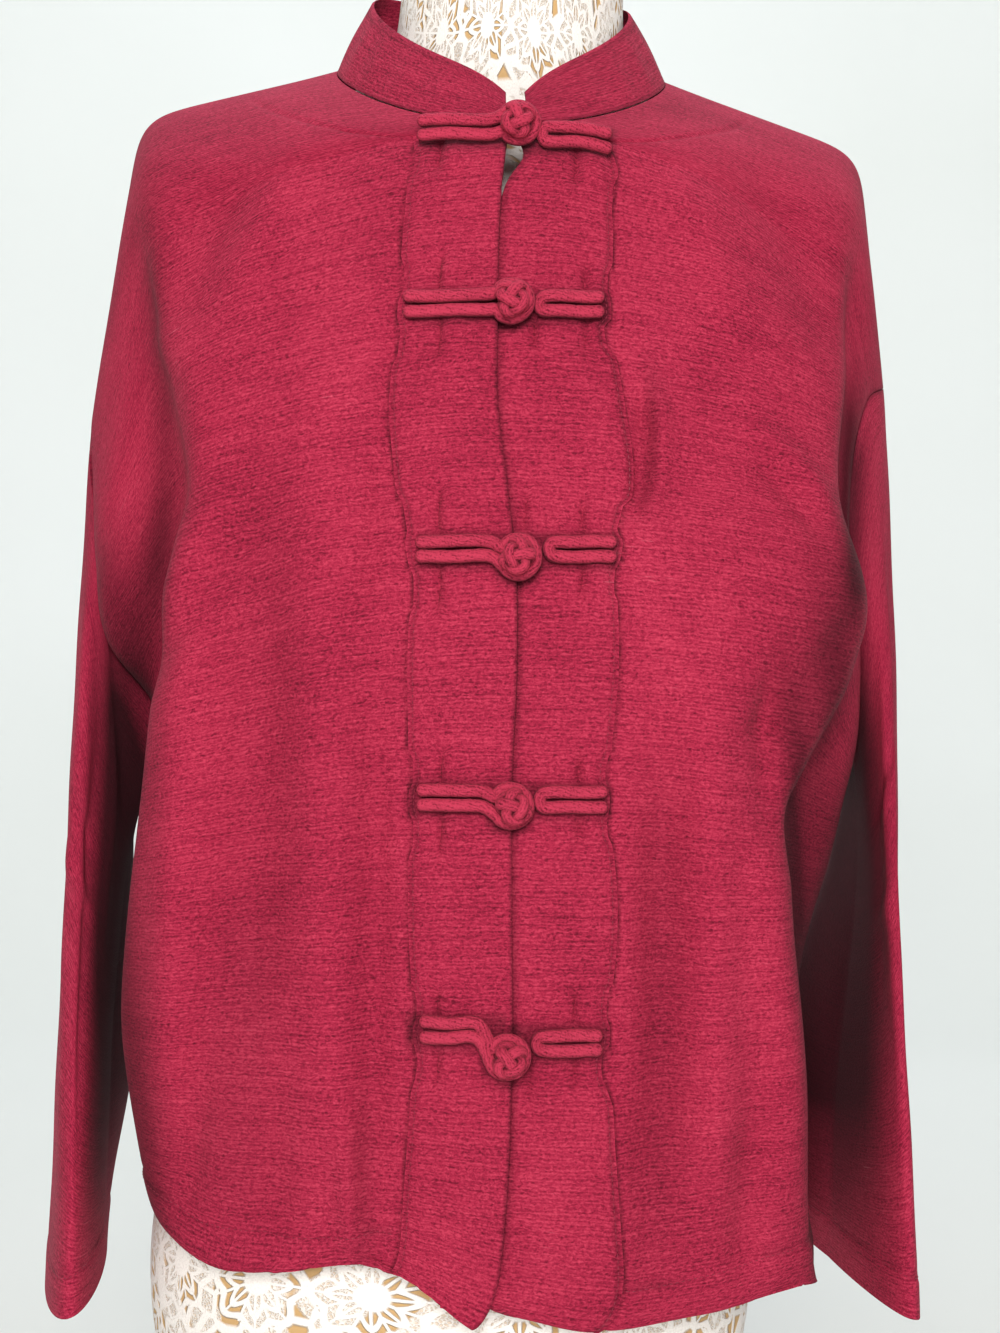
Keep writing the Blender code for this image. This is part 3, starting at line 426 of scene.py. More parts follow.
# Painted shade where the cloth lies deep beside a ridge or under the arm: both ends, half width, how dark,
# and bow.
shadeRight = [(-0.162, 0.270, -0.147, -0.040, 0.009, 0.42, 0.006),
              (-0.146, 0.110, -0.162, -0.110, 0.010, 0.46, -0.006),
              (-0.180, -0.060, -0.146, -0.350, 0.014, 0.52, 0.004),
              (-0.178, 0.090, -0.166, -0.080, 0.012, 0.40, 0.000),
              (-0.041, -0.195, -0.040, -0.320, 0.006, 0.20, 0.000),
              (-0.098, -0.090, -0.106, -0.310, 0.018, 0.14, 0.003)]
shadeLeft = [(0.164, 0.040, 0.196, -0.390, 0.0085, 0.72, 0.003),
             (0.186, 0.090, 0.196, -0.210, 0.017, 0.46, 0.000),
             (0.211, 0.170, 0.207, 0.010, 0.0080, 0.70, -0.002),
             (0.209, 0.090, 0.190, -0.060, 0.012, 0.30, 0.000),
             (0.098, 0.160, 0.092, 0.060, 0.004, 0.26, 0.005),
             (0.103, -0.020, 0.102, -0.330, 0.012, 0.14, 0.003)]
pinchFolds = []
for pinchX, pinchZ, up, down in pinches:
    for length, sign in ((up, 1), (down, -1)):
        if length > 0:
            pinchFolds.append((pinchX, pinchZ + sign * 0.002, pinchX + 0.002 * sign,
                               pinchZ + sign * (0.009 + length), 0.0026, -0.0017, 0.001))
            pinchFolds.append((pinchX + 0.006, pinchZ + sign * 0.004, pinchX + 0.007,
                               pinchZ + sign * (0.008 + length), 0.0040, 0.0009, 0.001))


# A point of the neck seam: an oval in plan, with z = side height + slope y - bend y^2 - tilt.
def neckline(angle, side):
    reach = np.where(np.cos(angle) > 0, panel["neckFront"], panel["neckBack"])
    x = panel["neckX"] + side * panel["neckHalf"] * np.sin(angle)
    y = -reach * np.cos(angle)
    bend = np.where(y < 0, panel["bendFront"], panel["bendBack"])
    z = (panel["neckHeight"] + panel["neckSlope"] * y - bend * y * y
         - panel["neckTilt"] * (x - panel["neckX"]))
    return np.stack([x, y, z], axis=-1)


# The opening's edge or a band's width at a height, smooth between the table's rows.
def placketAt(z, column):
    rows = placket[::-1]
    return readSmooth(z, rows[:, 0], rows[:, column])


# Each row of a half panel: out from the middle to the fold as a squared quarter oval
# (sin^s, cos^s), on to the seam as an eased line plus swing (2s^3 - 3s^2 + s), then relaxed
# by averaging each point with its neighbours (1, 2, 1) / 4 many times.
def panelRows(at, side, back=False):
    table = curveThrough(frontLeft if side > 0 else frontRight, at)
    table[:, 6] = np.where(at < panel["underarm"], np.minimum(table[:, 6], 0), 0)
    if back:
        table[:, :2] = curveThrough(backMiddle, at)
    mid, depth = table[:, 0], table[:, 1]
    if back:
        start = np.stack([panel["neckX"] * np.clip((mid + 0.33) / 0.66, 0, 1), depth, mid], axis=-1)
        onNeck = at <= panel["backNeck"]
        start[onNeck] = neckline(pi / 2 + pi / 2 * at[onNeck] / panel["backNeck"], side)
    else:
        start = np.stack([placketAt(mid, 1), depth, mid], axis=-1)
        onNeck = at <= panel["neck"]
        opening = side * np.arcsin((placket[0, 1] - panel["neckX"]) / panel["neckHalf"])
        start[onNeck] = neckline(pi / 2 + (opening - pi / 2) * at[onNeck] / panel["neck"], side)
    start = start[:, None, :]
    turn = -1 if back else 1
    fold = np.stack([table[:, 2], turn * table[:, 3], table[:, 4]], axis=-1)[:, None, :]
    seam = np.stack([table[:, 5], turn * table[:, 6], table[:, 7]], axis=-1)[:, None, :]
    t = np.linspace(0, 1, panel["points"] // 2 + 1)[None, :]
    out = np.sin(t * pi / 2) ** panel["square"]
    over = np.cos(t * pi / 2) ** panel["square"]
    power = 1 + np.clip(at, 0, 3)[:, None] * panel["droop"]
    first = np.stack([start[..., 0] + (fold[..., 0] - start[..., 0]) * out,
                      fold[..., 1] + (start[..., 1] - fold[..., 1]) * over,
                      start[..., 2] + (fold[..., 2] - start[..., 2]) * out ** power], axis=-1)
    s = np.linspace(0, 1, panel["points"] // 2 + 1)[None, 1:]
    ease = s * s * (3 - 2 * s)
    second = fold + (seam - fold) * ease[..., None]
    second[..., 1] += turn * table[:, 8][:, None] * (2 * s ** 3 - 3 * s ** 2 + s)
    rows = np.concatenate([first, second], axis=1)
    crisp = 1 - 0.8 * softStep(at, 5.2, 6.2) if side > 0 and not back else np.ones(len(at))
    for _ in range(panel["passes"]):
        rows[:, 1:-1] += crisp[:, None, None] * (rows[:, :-2] - 2 * rows[:, 1:-1] + rows[:, 2:]) / 4
    if not back:
        shares, heights = np.array(hemLeft if side > 0 else hemRight).T
        run = runOf(rows[..., :2])
        wave = readSmooth(run / run[:, -1:], shares, heights)
        hem = np.clip(at - (panel["hem"] - 1), 0, 1)[:, None] ** 2
        rows[..., 2] += hem * (wave - rows[..., 2])
    return rows


# A half panel as an even grid of points from its middle to its side, with the shoulder
# rounded by the same averaging.
def panelGrid(at, side, back=False):
    rows = panelRows(at, side, back)
    whole = runOf(rows)[:, -1:]
    grid = readRows(rows, whole * np.linspace(0, 1, panel["columns"])[None, :])
    rounded = softStep(at, 2.4, 0.6)[:, None, None]
    for _ in range(panel["roundPasses"]):
        grid[:, 1:-1] += rounded * (grid[:, :-2] - 2 * grid[:, 1:-1] + grid[:, 2:]) / 4
    return grid


# Gentle unevenness of soft cloth: three crossed waves of 50 to 110 mm, under a millimetre.
def drift(points, seed):
    x, z = points[..., 0] + 0.3 * points[..., 1], points[..., 2]
    waves = (np.sin(58 * x + 21 * z + seed) * 0.6 + np.sin(97 * x - 33 * z + 2.1 * seed) * 0.35
             + np.sin(31 * x + 74 * z + 3.7 * seed) * 0.3)
    return 0.0007 * waves


at = np.linspace(0, panel["hem"], panel["rows"])
right, left = panelGrid(at, -1), panelGrid(at, 1)
backRight, backLeft = panelGrid(at, -1, True), panelGrid(at, 1, True)
middle = panel["columns"]
back = np.concatenate([backRight[:, ::-1], backLeft], axis=1)


# The back's normals: its halves apart beside the neck, and as one below it.
def backNormals(grid):
    halves = [gridNormals(half, (0, 1, 0)) for half in (grid[:, :middle], grid[:, middle:])]
    whole = gridNormals(np.delete(grid, middle, axis=1), (0, 1, 0))
    whole = np.insert(whole, middle, whole[:, middle - 1], axis=1)
    below = (at >= panel["backNeck"])[:, None, None]
    return np.where(below, whole, np.concatenate(halves, axis=1))


# Press the folds in: points move along their normals, and not at all on the seams, the
# neck and the shoulder, where distance from each edge sets a soft step.
def pressed(grid, normals, amount, keep):
    return grid + normals * (amount * keep)[..., None]


# How free the cloth is: 0 on the shoulder, neck and side seam, 1 some way from them.
def freedom(grid, fromNeck):
    run = runOf(grid)
    side = softStep(run[:, -1:] - run, 0.0, 0.028)
    down = softStep(runOf(grid, axis=0), 0.0, 0.045)
    middleEdge = np.where(at[:, None] < fromNeck, softStep(run, 0.0, 0.03), 1.0)
    return side * down * middleEdge


nRight, nLeft = gridNormals(right, (0, -1, 0)), gridNormals(left, (0, -1, 0))
nBack = backNormals(back)
fineFronts = []
for grid, normals, folds, seed, column in ((right, nRight, foldsRight, 0.7, 2),
                                           (left, nLeft, foldsLeft, 2.9, 3)):
    amount = foldsAt(grid[..., 0], grid[..., 2], folds) * panel["relief"] + drift(grid, seed)
    amount += foldsAt(grid[..., 0], grid[..., 2], pinchFolds) * panel["pinch"]
    beside = runOf(grid) - placketAt(grid[:, :1, 2], column)
    amount -= panel["bandStep"] * np.exp(-((beside - 0.0014) / 0.0020) ** 2)
    fineFronts.append(pressed(grid, normals, amount, freedom(grid, panel["neck"])))
right, left = fineFronts
backFree = np.concatenate([freedom(backRight, panel["backNeck"])[:, ::-1],
                           freedom(backLeft, panel["backNeck"])], axis=1)
amount = foldsAt(back[..., 0], back[..., 2], foldsBack) * panel["relief"] + drift(back, 5.1)
amount[:, middle] = amount[:, middle - 1]
back = pressed(back, nBack, amount, backFree)

# Neighbours share one normal along a seam, so that their walls meet without a step.
nRight, nLeft = gridNormals(right, (0, -1, 0)), gridNormals(left, (0, -1, 0))
nBack = backNormals(back)
sideRows = at >= panel["underarm"]
for normals, part, edge in ((nRight, slice(middle - 1, None, -1), 0), (nLeft, slice(middle, None), -1)):
    shoulder = normals[0] + nBack[0, part]
    shoulder /= np.linalg.norm(shoulder, axis=-1, keepdims=True)
    normals[0] = shoulder
    nBack[0, part] = shoulder
    side = normals[sideRows, -1] + nBack[sideRows, edge]
    side /= np.linalg.norm(side, axis=-1, keepdims=True)
    normals[sideRows, -1] = side
    nBack[sideRows, edge] = side

# Below the collar the two edges part a little: the left one moves away by a soft bump.
parted = 0.0085 * np.exp(-((left[..., 2] - 0.2565) / 0.0115) ** 2)
left[..., 0] += parted * (1 - softStep(runOf(left), 0, 0.035))

# The armholes are kept before the panels' edges draw back from the seams.
holes = {-1: (right[:, -1].copy(), nRight[:, -1].copy(), back[:, 0].copy(), nBack[:, 0].copy()),
         1: (left[:, -1].copy(), nLeft[:, -1].copy(), back[:, -1].copy(), nBack[:, -1].copy())}


# UV in metres of cloth: u is the run across from the middle, v the run down from the top.
def clothUv(grid, side=1, shift=0.0, column=40):
    u = runOf(grid) * side + shift
    v = np.repeat(runOf(grid, axis=0)[:, column:column + 1], grid.shape[1], axis=1)
    return np.stack([u, -v], axis=-1)


# Draw one edge of a grid back along the cloth by a small length.
def drawBack(grid, edge, by):
    first, second = {"top": (grid[0], grid[1]), "left": (grid[:, 0], grid[:, 1]),
                     "right": (grid[:, -1], grid[:, -2])}[edge]
    way = second - first
    first += by * way / np.linalg.norm(way, axis=-1, keepdims=True)


# The cloth thickens where it is turned up twice at the hem, over the last 20 mm.
def hemRidge(grid, height=0.0007, tall=0.021):
    toHem = runOf(grid, axis=0)
    toHem = toHem[-1:] - toHem
    step = softStep(toHem, tall + 0.0016, tall - 0.0004)
    line = np.exp(-((toHem - tall - 0.0012) / 0.0016) ** 2)
    return height * (step - 0.9 * line)


rightRun = runOf(right)
lift = panel["lapLift"] * (1 - softStep(rightRun, 0, panel["lapFade"]))
share = np.clip((at - panel["neck"]) / 0.5, 0, 1)[:, None]
right = right + nRight * (lift * share + hemRidge(right))[..., None]
left = left + nLeft * hemRidge(left)[..., None]
unlapped = at <= panel["neck"] + 0.5
for grid in (right, left):
    drawBack(grid, "right", seamGap)
    drawBack(grid, "top", seamGap)
    grid[unlapped, 0] += (grid[unlapped, 1] - grid[unlapped, 0]) * 0.15

frogValues = {"halfWidth": 0.0033, "halfHeight": 0.0026, "lane": 0.0036, "loop": 0.0084,
              "sides": 14, "steps": 150}
# Loop side's height, the knot's, the other side's, and the knot's X, for each frog.
frogs = ((0.2690, 0.2710, 0.2655, 0.0352), (0.1768, 0.1776, 0.1768, 0.0312),
         (0.0563, 0.0525, 0.0563, 0.0346), (-0.0630, -0.0668, -0.0640, 0.0303),
         (-0.1745, -0.1868, -0.1810, 0.0289))


# The darker cloth about each frog: how fast it fades, the cords' half height and half length,
# how far below the cords and the knot it sits, the knot's radius, and how dark each is.
frogShadow = {"fall": 0.0025, "half": 0.0068, "reach": 0.047, "drop": 0.0010, "knotDrop": 0.0015,
              "knotRadius": 0.0105, "cords": 0.48, "knots": 0.66}


# Where the cloth lies in the frogs' shadow: e^-(distance past the cords / fall)^2 about each
# frog's bar of cords, and the same about its knot, a little stronger below than above.
def frogShade(grid, v):
    total = np.zeros(grid.shape[:2])
    for loopZ, knotZ, barZ, knotX in frogs:
        across = grid[..., 0] - knotX
        level = np.where(across < 0, loopZ, barZ)
        past = np.clip(np.abs(grid[..., 2] - level + v["drop"]) - v["half"], 0, None)
        beyond = np.clip(np.abs(across) - v["reach"], 0, None)
        cords = v["cords"] * np.exp(-(past / v["fall"]) ** 2 - (beyond / v["fall"]) ** 2)
        away = np.hypot(across, grid[..., 2] - knotZ + v["knotDrop"])
        past = np.clip(away - v["knotRadius"], 0, None)
        knots = v["knots"] * np.exp(-(past / v["fall"]) ** 2)
        total = np.maximum(total, np.maximum(cords, knots))
    return total


# Painted shade on a cord, by how deep a point lies beside its top line: dark under it and along its sides,
# more on its lower side.
def cordShade(points, path, up, half):
    nearest = path[np.argmin(((points[:, None] - path[None]) ** 2).sum(axis=-1), axis=1)]
    lift = ((points - nearest) @ up) / half
    return np.clip(0.62 - 0.85 * lift - 0.22 * (points - nearest)[:, 2] / half, 0, 0.9)


# Painted shade: how dark the cloth is along a band's edge, a side seam and the hem's stitching, towards
# the sides as they turn away, and for each metre that a pinch or a fold goes in.
panelShade = {"band": 0.70, "seam": 0.45, "hem": 0.30, "side": 0.26, "pinch": 70, "fold": 26,
              "most": 0.85}
shades = []
for grid, column, table, folds in ((right, 2, shadeRight, foldsRight),
                                   (left, 3, shadeLeft, foldsLeft)):
    beside = runOf(grid) - placketAt(grid[:, :1, 2], column)
    below = softStep(at, panel["neck"], panel["neck"] + 0.1)[:, None]
    toSide = runOf(grid)[:, -1:] - runOf(grid)
    hemLine = runOf(grid, axis=0)
    hemLine = hemLine[-1:] - hemLine - 0.0222
    ways = grid[..., 0], grid[..., 2]
    turning = softStep(toSide, 0.055, 0.005) * softStep(at, 1.5, 4.0)[:, None]
    shade = (panelShade["band"] * np.exp(-((beside - 0.0005) / 0.0011) ** 2) * below
             + panelShade["seam"] * np.exp(-(toSide / 0.0015) ** 2)
             + panelShade["side"] * turning
             + panelShade["hem"] * np.exp(-(hemLine / 0.0010) ** 2)
             + foldsAt(*ways, table)
             + panelShade["pinch"] * np.clip(-foldsAt(*ways, pinchFolds), 0, 0.004)
             + panelShade["fold"] * np.clip(-foldsAt(*ways, folds), 0, 0.006)
             + frogShade(grid, frogShadow))
    shades.append(np.clip(shade, 0, panelShade["most"]))
rightSheet = clothShell("frontRightCloth", right, right - nRight * panel["cloth"], clothUv(right, -1),
                        crepe, shade=shades[0])
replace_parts(rightSheet, "front_right")

# The lower front runs on under the upper one, as a flat strip beyond the opening's edge.
reach = panel["lap"] * softStep(at, panel["neck"] + 0.5, panel["neck"] + 1.0)
strip = np.linspace(1, 0, 8)[:-1]
under = np.repeat(left[:, :1], len(strip), axis=1)
under[..., 0] -= reach[:, None] * strip[None, :]
under[..., 0] -= 0.00004 * np.arange(len(strip), 0, -1)[None, :]
lapped = np.concatenate([under, left], axis=1)
lappedNormals = np.concatenate([np.repeat(nLeft[:, :1], len(strip), axis=1), nLeft], axis=1)
# The strip under the upper front lies in painted shade, half dark.
leftSheet = clothShell("frontLeftCloth", lapped, lapped - lappedNormals * panel["cloth"],
                       clothUv(lapped, 1, 0.31), crepe,
                       shade=np.concatenate([np.full((len(at), len(strip)), 0.5), shades[1]], axis=1))
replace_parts(leftSheet, "front_left")
print("fronts made")

# The back: two halves beside the neck that are one cloth below it.
backFine = back + nBack * hemRidge(back)[..., None]
keepColumns = np.concatenate([np.arange(0, middle, 2), np.arange(middle, 2 * middle, 2)])
thinBack = backFine[:, keepColumns]
thinNormals = nBack[:, keepColumns]
for edge in ("left", "right", "top"):
    drawBack(thinBack, edge, seamGap)
halfCount = (middle + 1) // 2
backIndex = np.arange(thinBack.shape[0] * thinBack.shape[1]).reshape(thinBack.shape[:2])
joined = at >= panel["backNeck"]
backIndex[joined, halfCount] = backIndex[joined, halfCount - 1]
backSheet = clothShell("backCloth", thinBack, thinBack - thinNormals * panel["cloth"],
                       clothUv(thinBack, 1, 0.73, 20), crepe, backIndex, halfCount - 1)
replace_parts(backSheet, "back")
print("back made")

# Each row down the sleeve: outer and inner height, middle X and Y, half thickness, half
# depth, the turn in degrees that takes the back edge outwards, and how far the back of the
# sleeve swells inwards behind the body.
sleeveRight = np.array([
    (0.1530, -0.0350, -0.1775, -0.002, 0.0185, 0.048, 4, 0.000),
    (0.0650, -0.0850, -0.1880, -0.002, 0.0140, 0.054, 6, 0.000),
    (-0.0350, -0.1450, -0.1960, 0.000, 0.0125, 0.074, 8, 0.014),
    (-0.1600, -0.2250, -0.2020, 0.002, 0.0125, 0.087, 9, 0.026),
    (-0.3330, -0.3230, -0.2085, 0.004, 0.0160, 0.094, 11, 0.000),
])
sleeveLeft = np.array([
    (0.1530, -0.0300, 0.2280, 0.000, 0.0110, 0.038, 0, 0.000),
    (0.0700, -0.0750, 0.2325, 0.008, 0.0085, 0.044, 0, 0.000),
    (-0.0350, -0.1400, 0.2315, 0.016, 0.0080, 0.064, -1, 0.012),
    (-0.1600, -0.2250, 0.2240, 0.010, 0.0110, 0.082, -6, 0.028),
    (-0.3330, -0.3250, 0.2215, 0.002, 0.0140, 0.090, -8, 0.008),
])
# inside: how dark the painted shade is on each sleeve's inner side.
sleeveValues = {"rings": 170, "around": 120, "blend": 0.40, "spread": 1.15, "length": 0.48,
                "cuffStitch": 0.0215, "cuffRise": 0.0006,
                "inside": {-1: 0.88, 1: 0.86}}
# Where each sleeve lies in the body's shadow, written as the fronts' shades are.
sleeveShades = {-1: [(-0.174, 0.050, -0.180, -0.215, 0.0085, 0.70, 0.0)],
                1: [(0.213, 0.140, 0.208, 0.010, 0.009, 0.75, 0.0),
                    (0.199, 0.000, 0.203, -0.260, 0.012, 0.70, 0.0)]}

# Folds of the sleeves, by their angle (degrees: 0 outside, 90 in front, 180 inside) and the
# share of the way down: both ends, half width, depth, bow; angles count 1 per 1000 mm.
sleeveFolds = {
    -1: [(70, 0.10, 62, 0.95, 0.013, 0.0026, 0.004), (105, 0.20, 100, 0.90, 0.011, -0.0026, 0.003),
         (38, 0.25, 30, 0.98, 0.010, -0.0020, -0.003), (130, 0.12, 128, 0.60, 0.010, 0.0020, 0.0),
         (60, 0.52, 120, 0.44, 0.010, -0.0022, 0.004), (50, 0.60, 125, 0.53, 0.009, 0.0020, 0.0),
         (250, 0.20, 262, 0.90, 0.014, 0.0026, 0.004), (300, 0.15, 292, 0.80, 0.012, -0.0024, 0.0)],
    1: [(60, 0.12, 66, 0.95, 0.013, -0.0026, 0.004), (100, 0.15, 96, 0.92, 0.012, 0.0024, -0.003),
        (30, 0.30, 36, 0.96, 0.010, 0.0018, 0.003), (135, 0.20, 128, 0.75, 0.011, -0.0022, 0.0),
        (70, 0.42, 140, 0.34, 0.010, -0.0018, 0.0), (80, 0.60, 140, 0.52, 0.010, 0.0018, 0.0),
        (250, 0.15, 258, 0.90, 0.014, -0.0026, 0.004), (300, 0.20, 290, 0.85, 0.012, 0.0024, 0.0)],
}


# A tube whose first ring is the armhole and whose others are flat ovals, the first shape
# fading as the square of what is left of the blend; angle a puts a ring's points at
# thick cos a outwards, deep sin a forwards, and between the outer and inner heights, less
# swell * (-sin a) * (1 - cos a) / 2 on its back half.
def sleeveGrid(side, table, v):
    angle = 2 * pi * np.arange(v["around"]) / v["around"]
    frontEdge, frontNormal, backEdge, backNormal = holes[side]
    fore = angle <= pi
    place = np.where(fore, angle, 2 * pi - angle) / pi * panel["underarm"]
    hole = np.empty((v["around"], 3))
    holeNormal = np.empty((v["around"], 3))
    for k in range(3):
        hole[:, k] = np.where(fore, np.interp(place, at, frontEdge[:, k]),
                              np.interp(place, at, backEdge[:, k]))
        holeNormal[:, k] = np.where(fore, np.interp(place, at, frontNormal[:, k]),
                                    np.interp(place, at, backNormal[:, k]))
    along = np.linspace(0, 1, v["rings"]) ** v["spread"]
    outer, inner, x, y, thick, deep, turn, swell = curveThrough(
        table, along * (len(table) - 1)).T[..., None]
    out = thick * np.cos(angle)
    forward = deep * np.sin(angle)
    turn = np.radians(turn)
    behind = swell * np.clip(-np.sin(angle), 0, 1) * (0.5 - 0.5 * np.cos(angle))
    rings = np.stack([x + side * (out * np.cos(turn) - forward * np.sin(turn) - behind),
                      y - forward * np.cos(turn) - out * np.sin(turn),
                      (outer + inner) / 2 + (outer - inner) / 2 * np.cos(angle)], axis=-1)
    fade = np.clip(1 - along / v["blend"], 0, 1)[:, None, None] ** 2
    rings = rings + fade * (hole[None] - rings[:1])
    return rings, along, angle, holeNormal


# A closed ring's normals: the cross product taken with its last column wrapped round.
def ringNormals(rings):
    wrapped = np.concatenate([rings[:, -1:], rings, rings[:, :1]], axis=1)
    n = np.cross(np.gradient(wrapped, axis=0), np.gradient(wrapped, axis=1))[:, 1:-1]
    n /= np.linalg.norm(n, axis=-1, keepdims=True) + 1e-12
    return n * np.sign((n * (rings - rings.mean(axis=1, keepdims=True))).sum(axis=-1).mean())


sleeveCuffs = {}
for side, table, name, node in ((-1, sleeveRight, "sleeveRightCloth", "sleeve_right"),
                                (1, sleeveLeft, "sleeveLeftCloth", "sleeve_left")):
    rings, along, angle, holeNormal = sleeveGrid(side, table, sleeveValues)
    normals = ringNormals(rings)
    a = np.repeat(np.degrees(angle)[None, :] / 1000, len(along), axis=0)
    b = np.repeat(along[:, None], len(angle), axis=1) * sleeveValues["length"]
    long = sleeveValues["length"]
    scaled = [(a0 / 1000, b0 * long, a1 / 1000, b1 * long, w, d, bow)
              for a0, b0, a1, b1, w, d, bow in sleeveFolds[side]]
    free = softStep(b, 0.0, 0.05)
    amount = foldsAt(a, b, scaled) * free + drift(rings, side * 1.7) * free
    toCuff = runOf(rings, axis=0)
    toCuff = toCuff[-1:] - toCuff
    fromStitch = toCuff - sleeveValues["cuffStitch"]
    cuffStep = softStep(toCuff, 0.0205, 0.0185) - 0.9 * np.exp(-(fromStitch / 0.0016) ** 2)
    rings = rings + normals * (amount + sleeveValues["cuffRise"] * cuffStep)[..., None]
    normals = ringNormals(rings)
    normals[0] = holeNormal
    drawBack(rings, "top", 2 * seamGap)
    sleeveCuffs[side] = (rings, normals)
    count = sleeveValues["around"]
    index = np.arange(rings.shape[0] * count).reshape(-1, count)
    index = np.concatenate([index, index[:, :1]], axis=1)
    closed = np.concatenate([rings, rings[:, :1]], axis=1)
    uv = clothUv(closed, 1, 1.4 if side > 0 else 1.9, 30)
    # Painted shade on the sleeve: its inner side, where it lies in the body's shadow, along its armhole
    # seam and at its cuff stitching.
    degrees = a * 1000
    inside = softStep(degrees, 100, 150) * softStep(degrees, 275, 230)
    shade = (foldsAt(rings[..., 0], rings[..., 2], sleeveShades[side])
             + sleeveValues["inside"][side] * inside * softStep(b, 0.02, 0.10) * softStep(b, 0.47, 0.36)
             + panelShade["seam"] * np.exp(-(runOf(rings, axis=0) / 0.0016) ** 2)
             + panelShade["hem"] * np.exp(-(fromStitch / 0.0010) ** 2))
    sleeveSheet = clothShell(name, rings, rings - normals * panel["cloth"], uv, crepe, index,
                             shade=np.clip(shade, 0, 0.9))
    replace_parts(sleeveSheet, node)
print("sleeves made")

collarValues = {"height": 0.0364, "lean": 0.0185, "dip": 0.50, "dipAngle": radians(12),
                "ends": (radians(-1.5), radians(8.6)), "cloth": 0.0016, "rows": 15, "columns": 110}


# The collar stands on the neck seam and leans in; its height falls at the front corners by
# dip * e^-(angle / dip angle), and it bellies out by a sine of its height.
def collarGrid(v):
    outer, inner = [], []
    shares = np.linspace(0, 1, v["rows"])[:, None]
    for side, begin in zip((-1, 1), v["ends"]):
        angle = begin + (pi - begin) * np.linspace(0, 1, v["columns"]) ** 1.35
        base = neckline(angle, side)[None]
        dip = (1 - v["dip"] * np.exp(-(angle - begin) / v["dipAngle"]))[None]
        inward = np.stack([-side * np.sin(angle), np.cos(angle), 0 * angle], axis=-1)[None]
        belly = 0.0010 * np.sin(pi * shares) * np.ones_like(dip)
        point = base + inward * (v["lean"] * shares * dip - belly)[..., None]
        ripple = 0.0005 * np.sin(23 * angle + side)[None] * np.sin(pi * shares)
        point[..., 2] += v["height"] * dip * shares + 2 * gap
        point -= inward * ripple[..., None]
        outer.append(point)
        inner.append(point + inward * v["cloth"] + np.array([0, 0, v["cloth"] * 0.4]))
    return [np.concatenate([half[0], half[1][:, -2::-1]], axis=1) for half in (outer, inner)]


collarOuter, collarInner = collarGrid(collarValues)
collarUv = clothUv(collarOuter, 1, 2.5, 60)
# Painted shade along the collar's neck seam and in a line just below its top edge.
fromSeam = runOf(collarOuter, axis=0)
fromTop = fromSeam[-1:] - fromSeam
collarShade = (0.50 * np.exp(-(fromSeam / 0.0012) ** 2)
               + 0.25 * np.exp(-((fromTop - 0.0030) / 0.0010) ** 2))
collarPiece = clothShell("collarBand", collarOuter, collarInner, collarUv, crepe, shade=collarShade)
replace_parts(collarPiece, "collar")


# A band lies on its front: the front's own points at band width * share, moved out by a gap,
# a little full between its stitched edges.
def bandGrid(front, normals, column, columns=27):
    rows = at >= panel["neck"] + 0.05
    lengths = placketAt(front[rows, 0, 2], column)[:, None] * np.linspace(0, 1, columns)[None, :]
    joinedRows = np.concatenate([front[rows], normals[rows]], axis=-1)
    run = runOf(front[rows])
    out = np.empty((rows.sum(), columns, 6))
    for r in range(len(out)):
        for k in range(6):
            out[r, :, k] = np.interp(lengths[r], run[r], joinedRows[r, :, k])
    points, n = out[..., :3], out[..., 3:]
    n = n / np.linalg.norm(n, axis=-1, keepdims=True)
    share = np.linspace(0, 1, columns)[None, :]
    full = 0.0012 * np.sin(pi * share) ** 0.6
    stitch = -0.0007 * np.exp(-((lengths[:, -1:] - lengths - 0.0026) / 0.0015) ** 2)
    low = points + n * gap
    high = low + n * (panel["bandCloth"] + full + stitch)[..., None]
    return high, low, n


bands = {}
for name, node, grid, normals, column, side in (
        ("placketRightBand", "placket_right", right, nRight, 2, -1),
        ("placketLeftBand", "placket_left", left, nLeft, 3, 1)):
    high, low, n = bandGrid(grid, normals, column)
    bands[side] = (high, n)
    run = runOf(high)
    ways = high[..., 0], high[..., 2]
    # Painted shade on a band: at its opening edge, along its stitch line, in the pinches and in the frogs'
    # shadow.
    edge = 0.55 * np.exp(-(run / 0.0009) ** 2) if side < 0 else 0.45 * np.exp(-(run / 0.0025) ** 2)
    shade = (0.40 * np.exp(-((run[:, -1:] - run - 0.0026) / 0.0008) ** 2)
             + panelShade["pinch"] * np.clip(-foldsAt(*ways, pinchFolds), 0, 0.004)
             + frogShade(high, frogShadow) + edge)
    made = clothShell(name, high, low, clothUv(high, side, 3.1 + side * 0.2, 10), crepe,
                      shade=np.clip(shade, 0, 0.8))
    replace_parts(made, node)
print("collar and bands made")

# A band's face at a height and an X: its nearest rows mixed, then read across.
def onBand(surface, z, x):
    points, normals = surface
    heights = points[:, 0, 2]
    row = np.interp(-z, -heights, np.arange(len(heights)))
    k = min(int(row), len(heights) - 2)
    t = row - k
    line = points[k] * (1 - t) + points[k + 1] * t
    across = normals[k] * (1 - t) + normals[k + 1] * t
    order = np.argsort(line[:, 0])
    y = np.interp(x, line[order, 0], line[order, 1])
    normal = np.array([np.interp(x, line[order, 0], across[order, j]) for j in range(3)])
    return np.array([x, y, z]), normal / np.linalg.norm(normal), line[-1, 0]


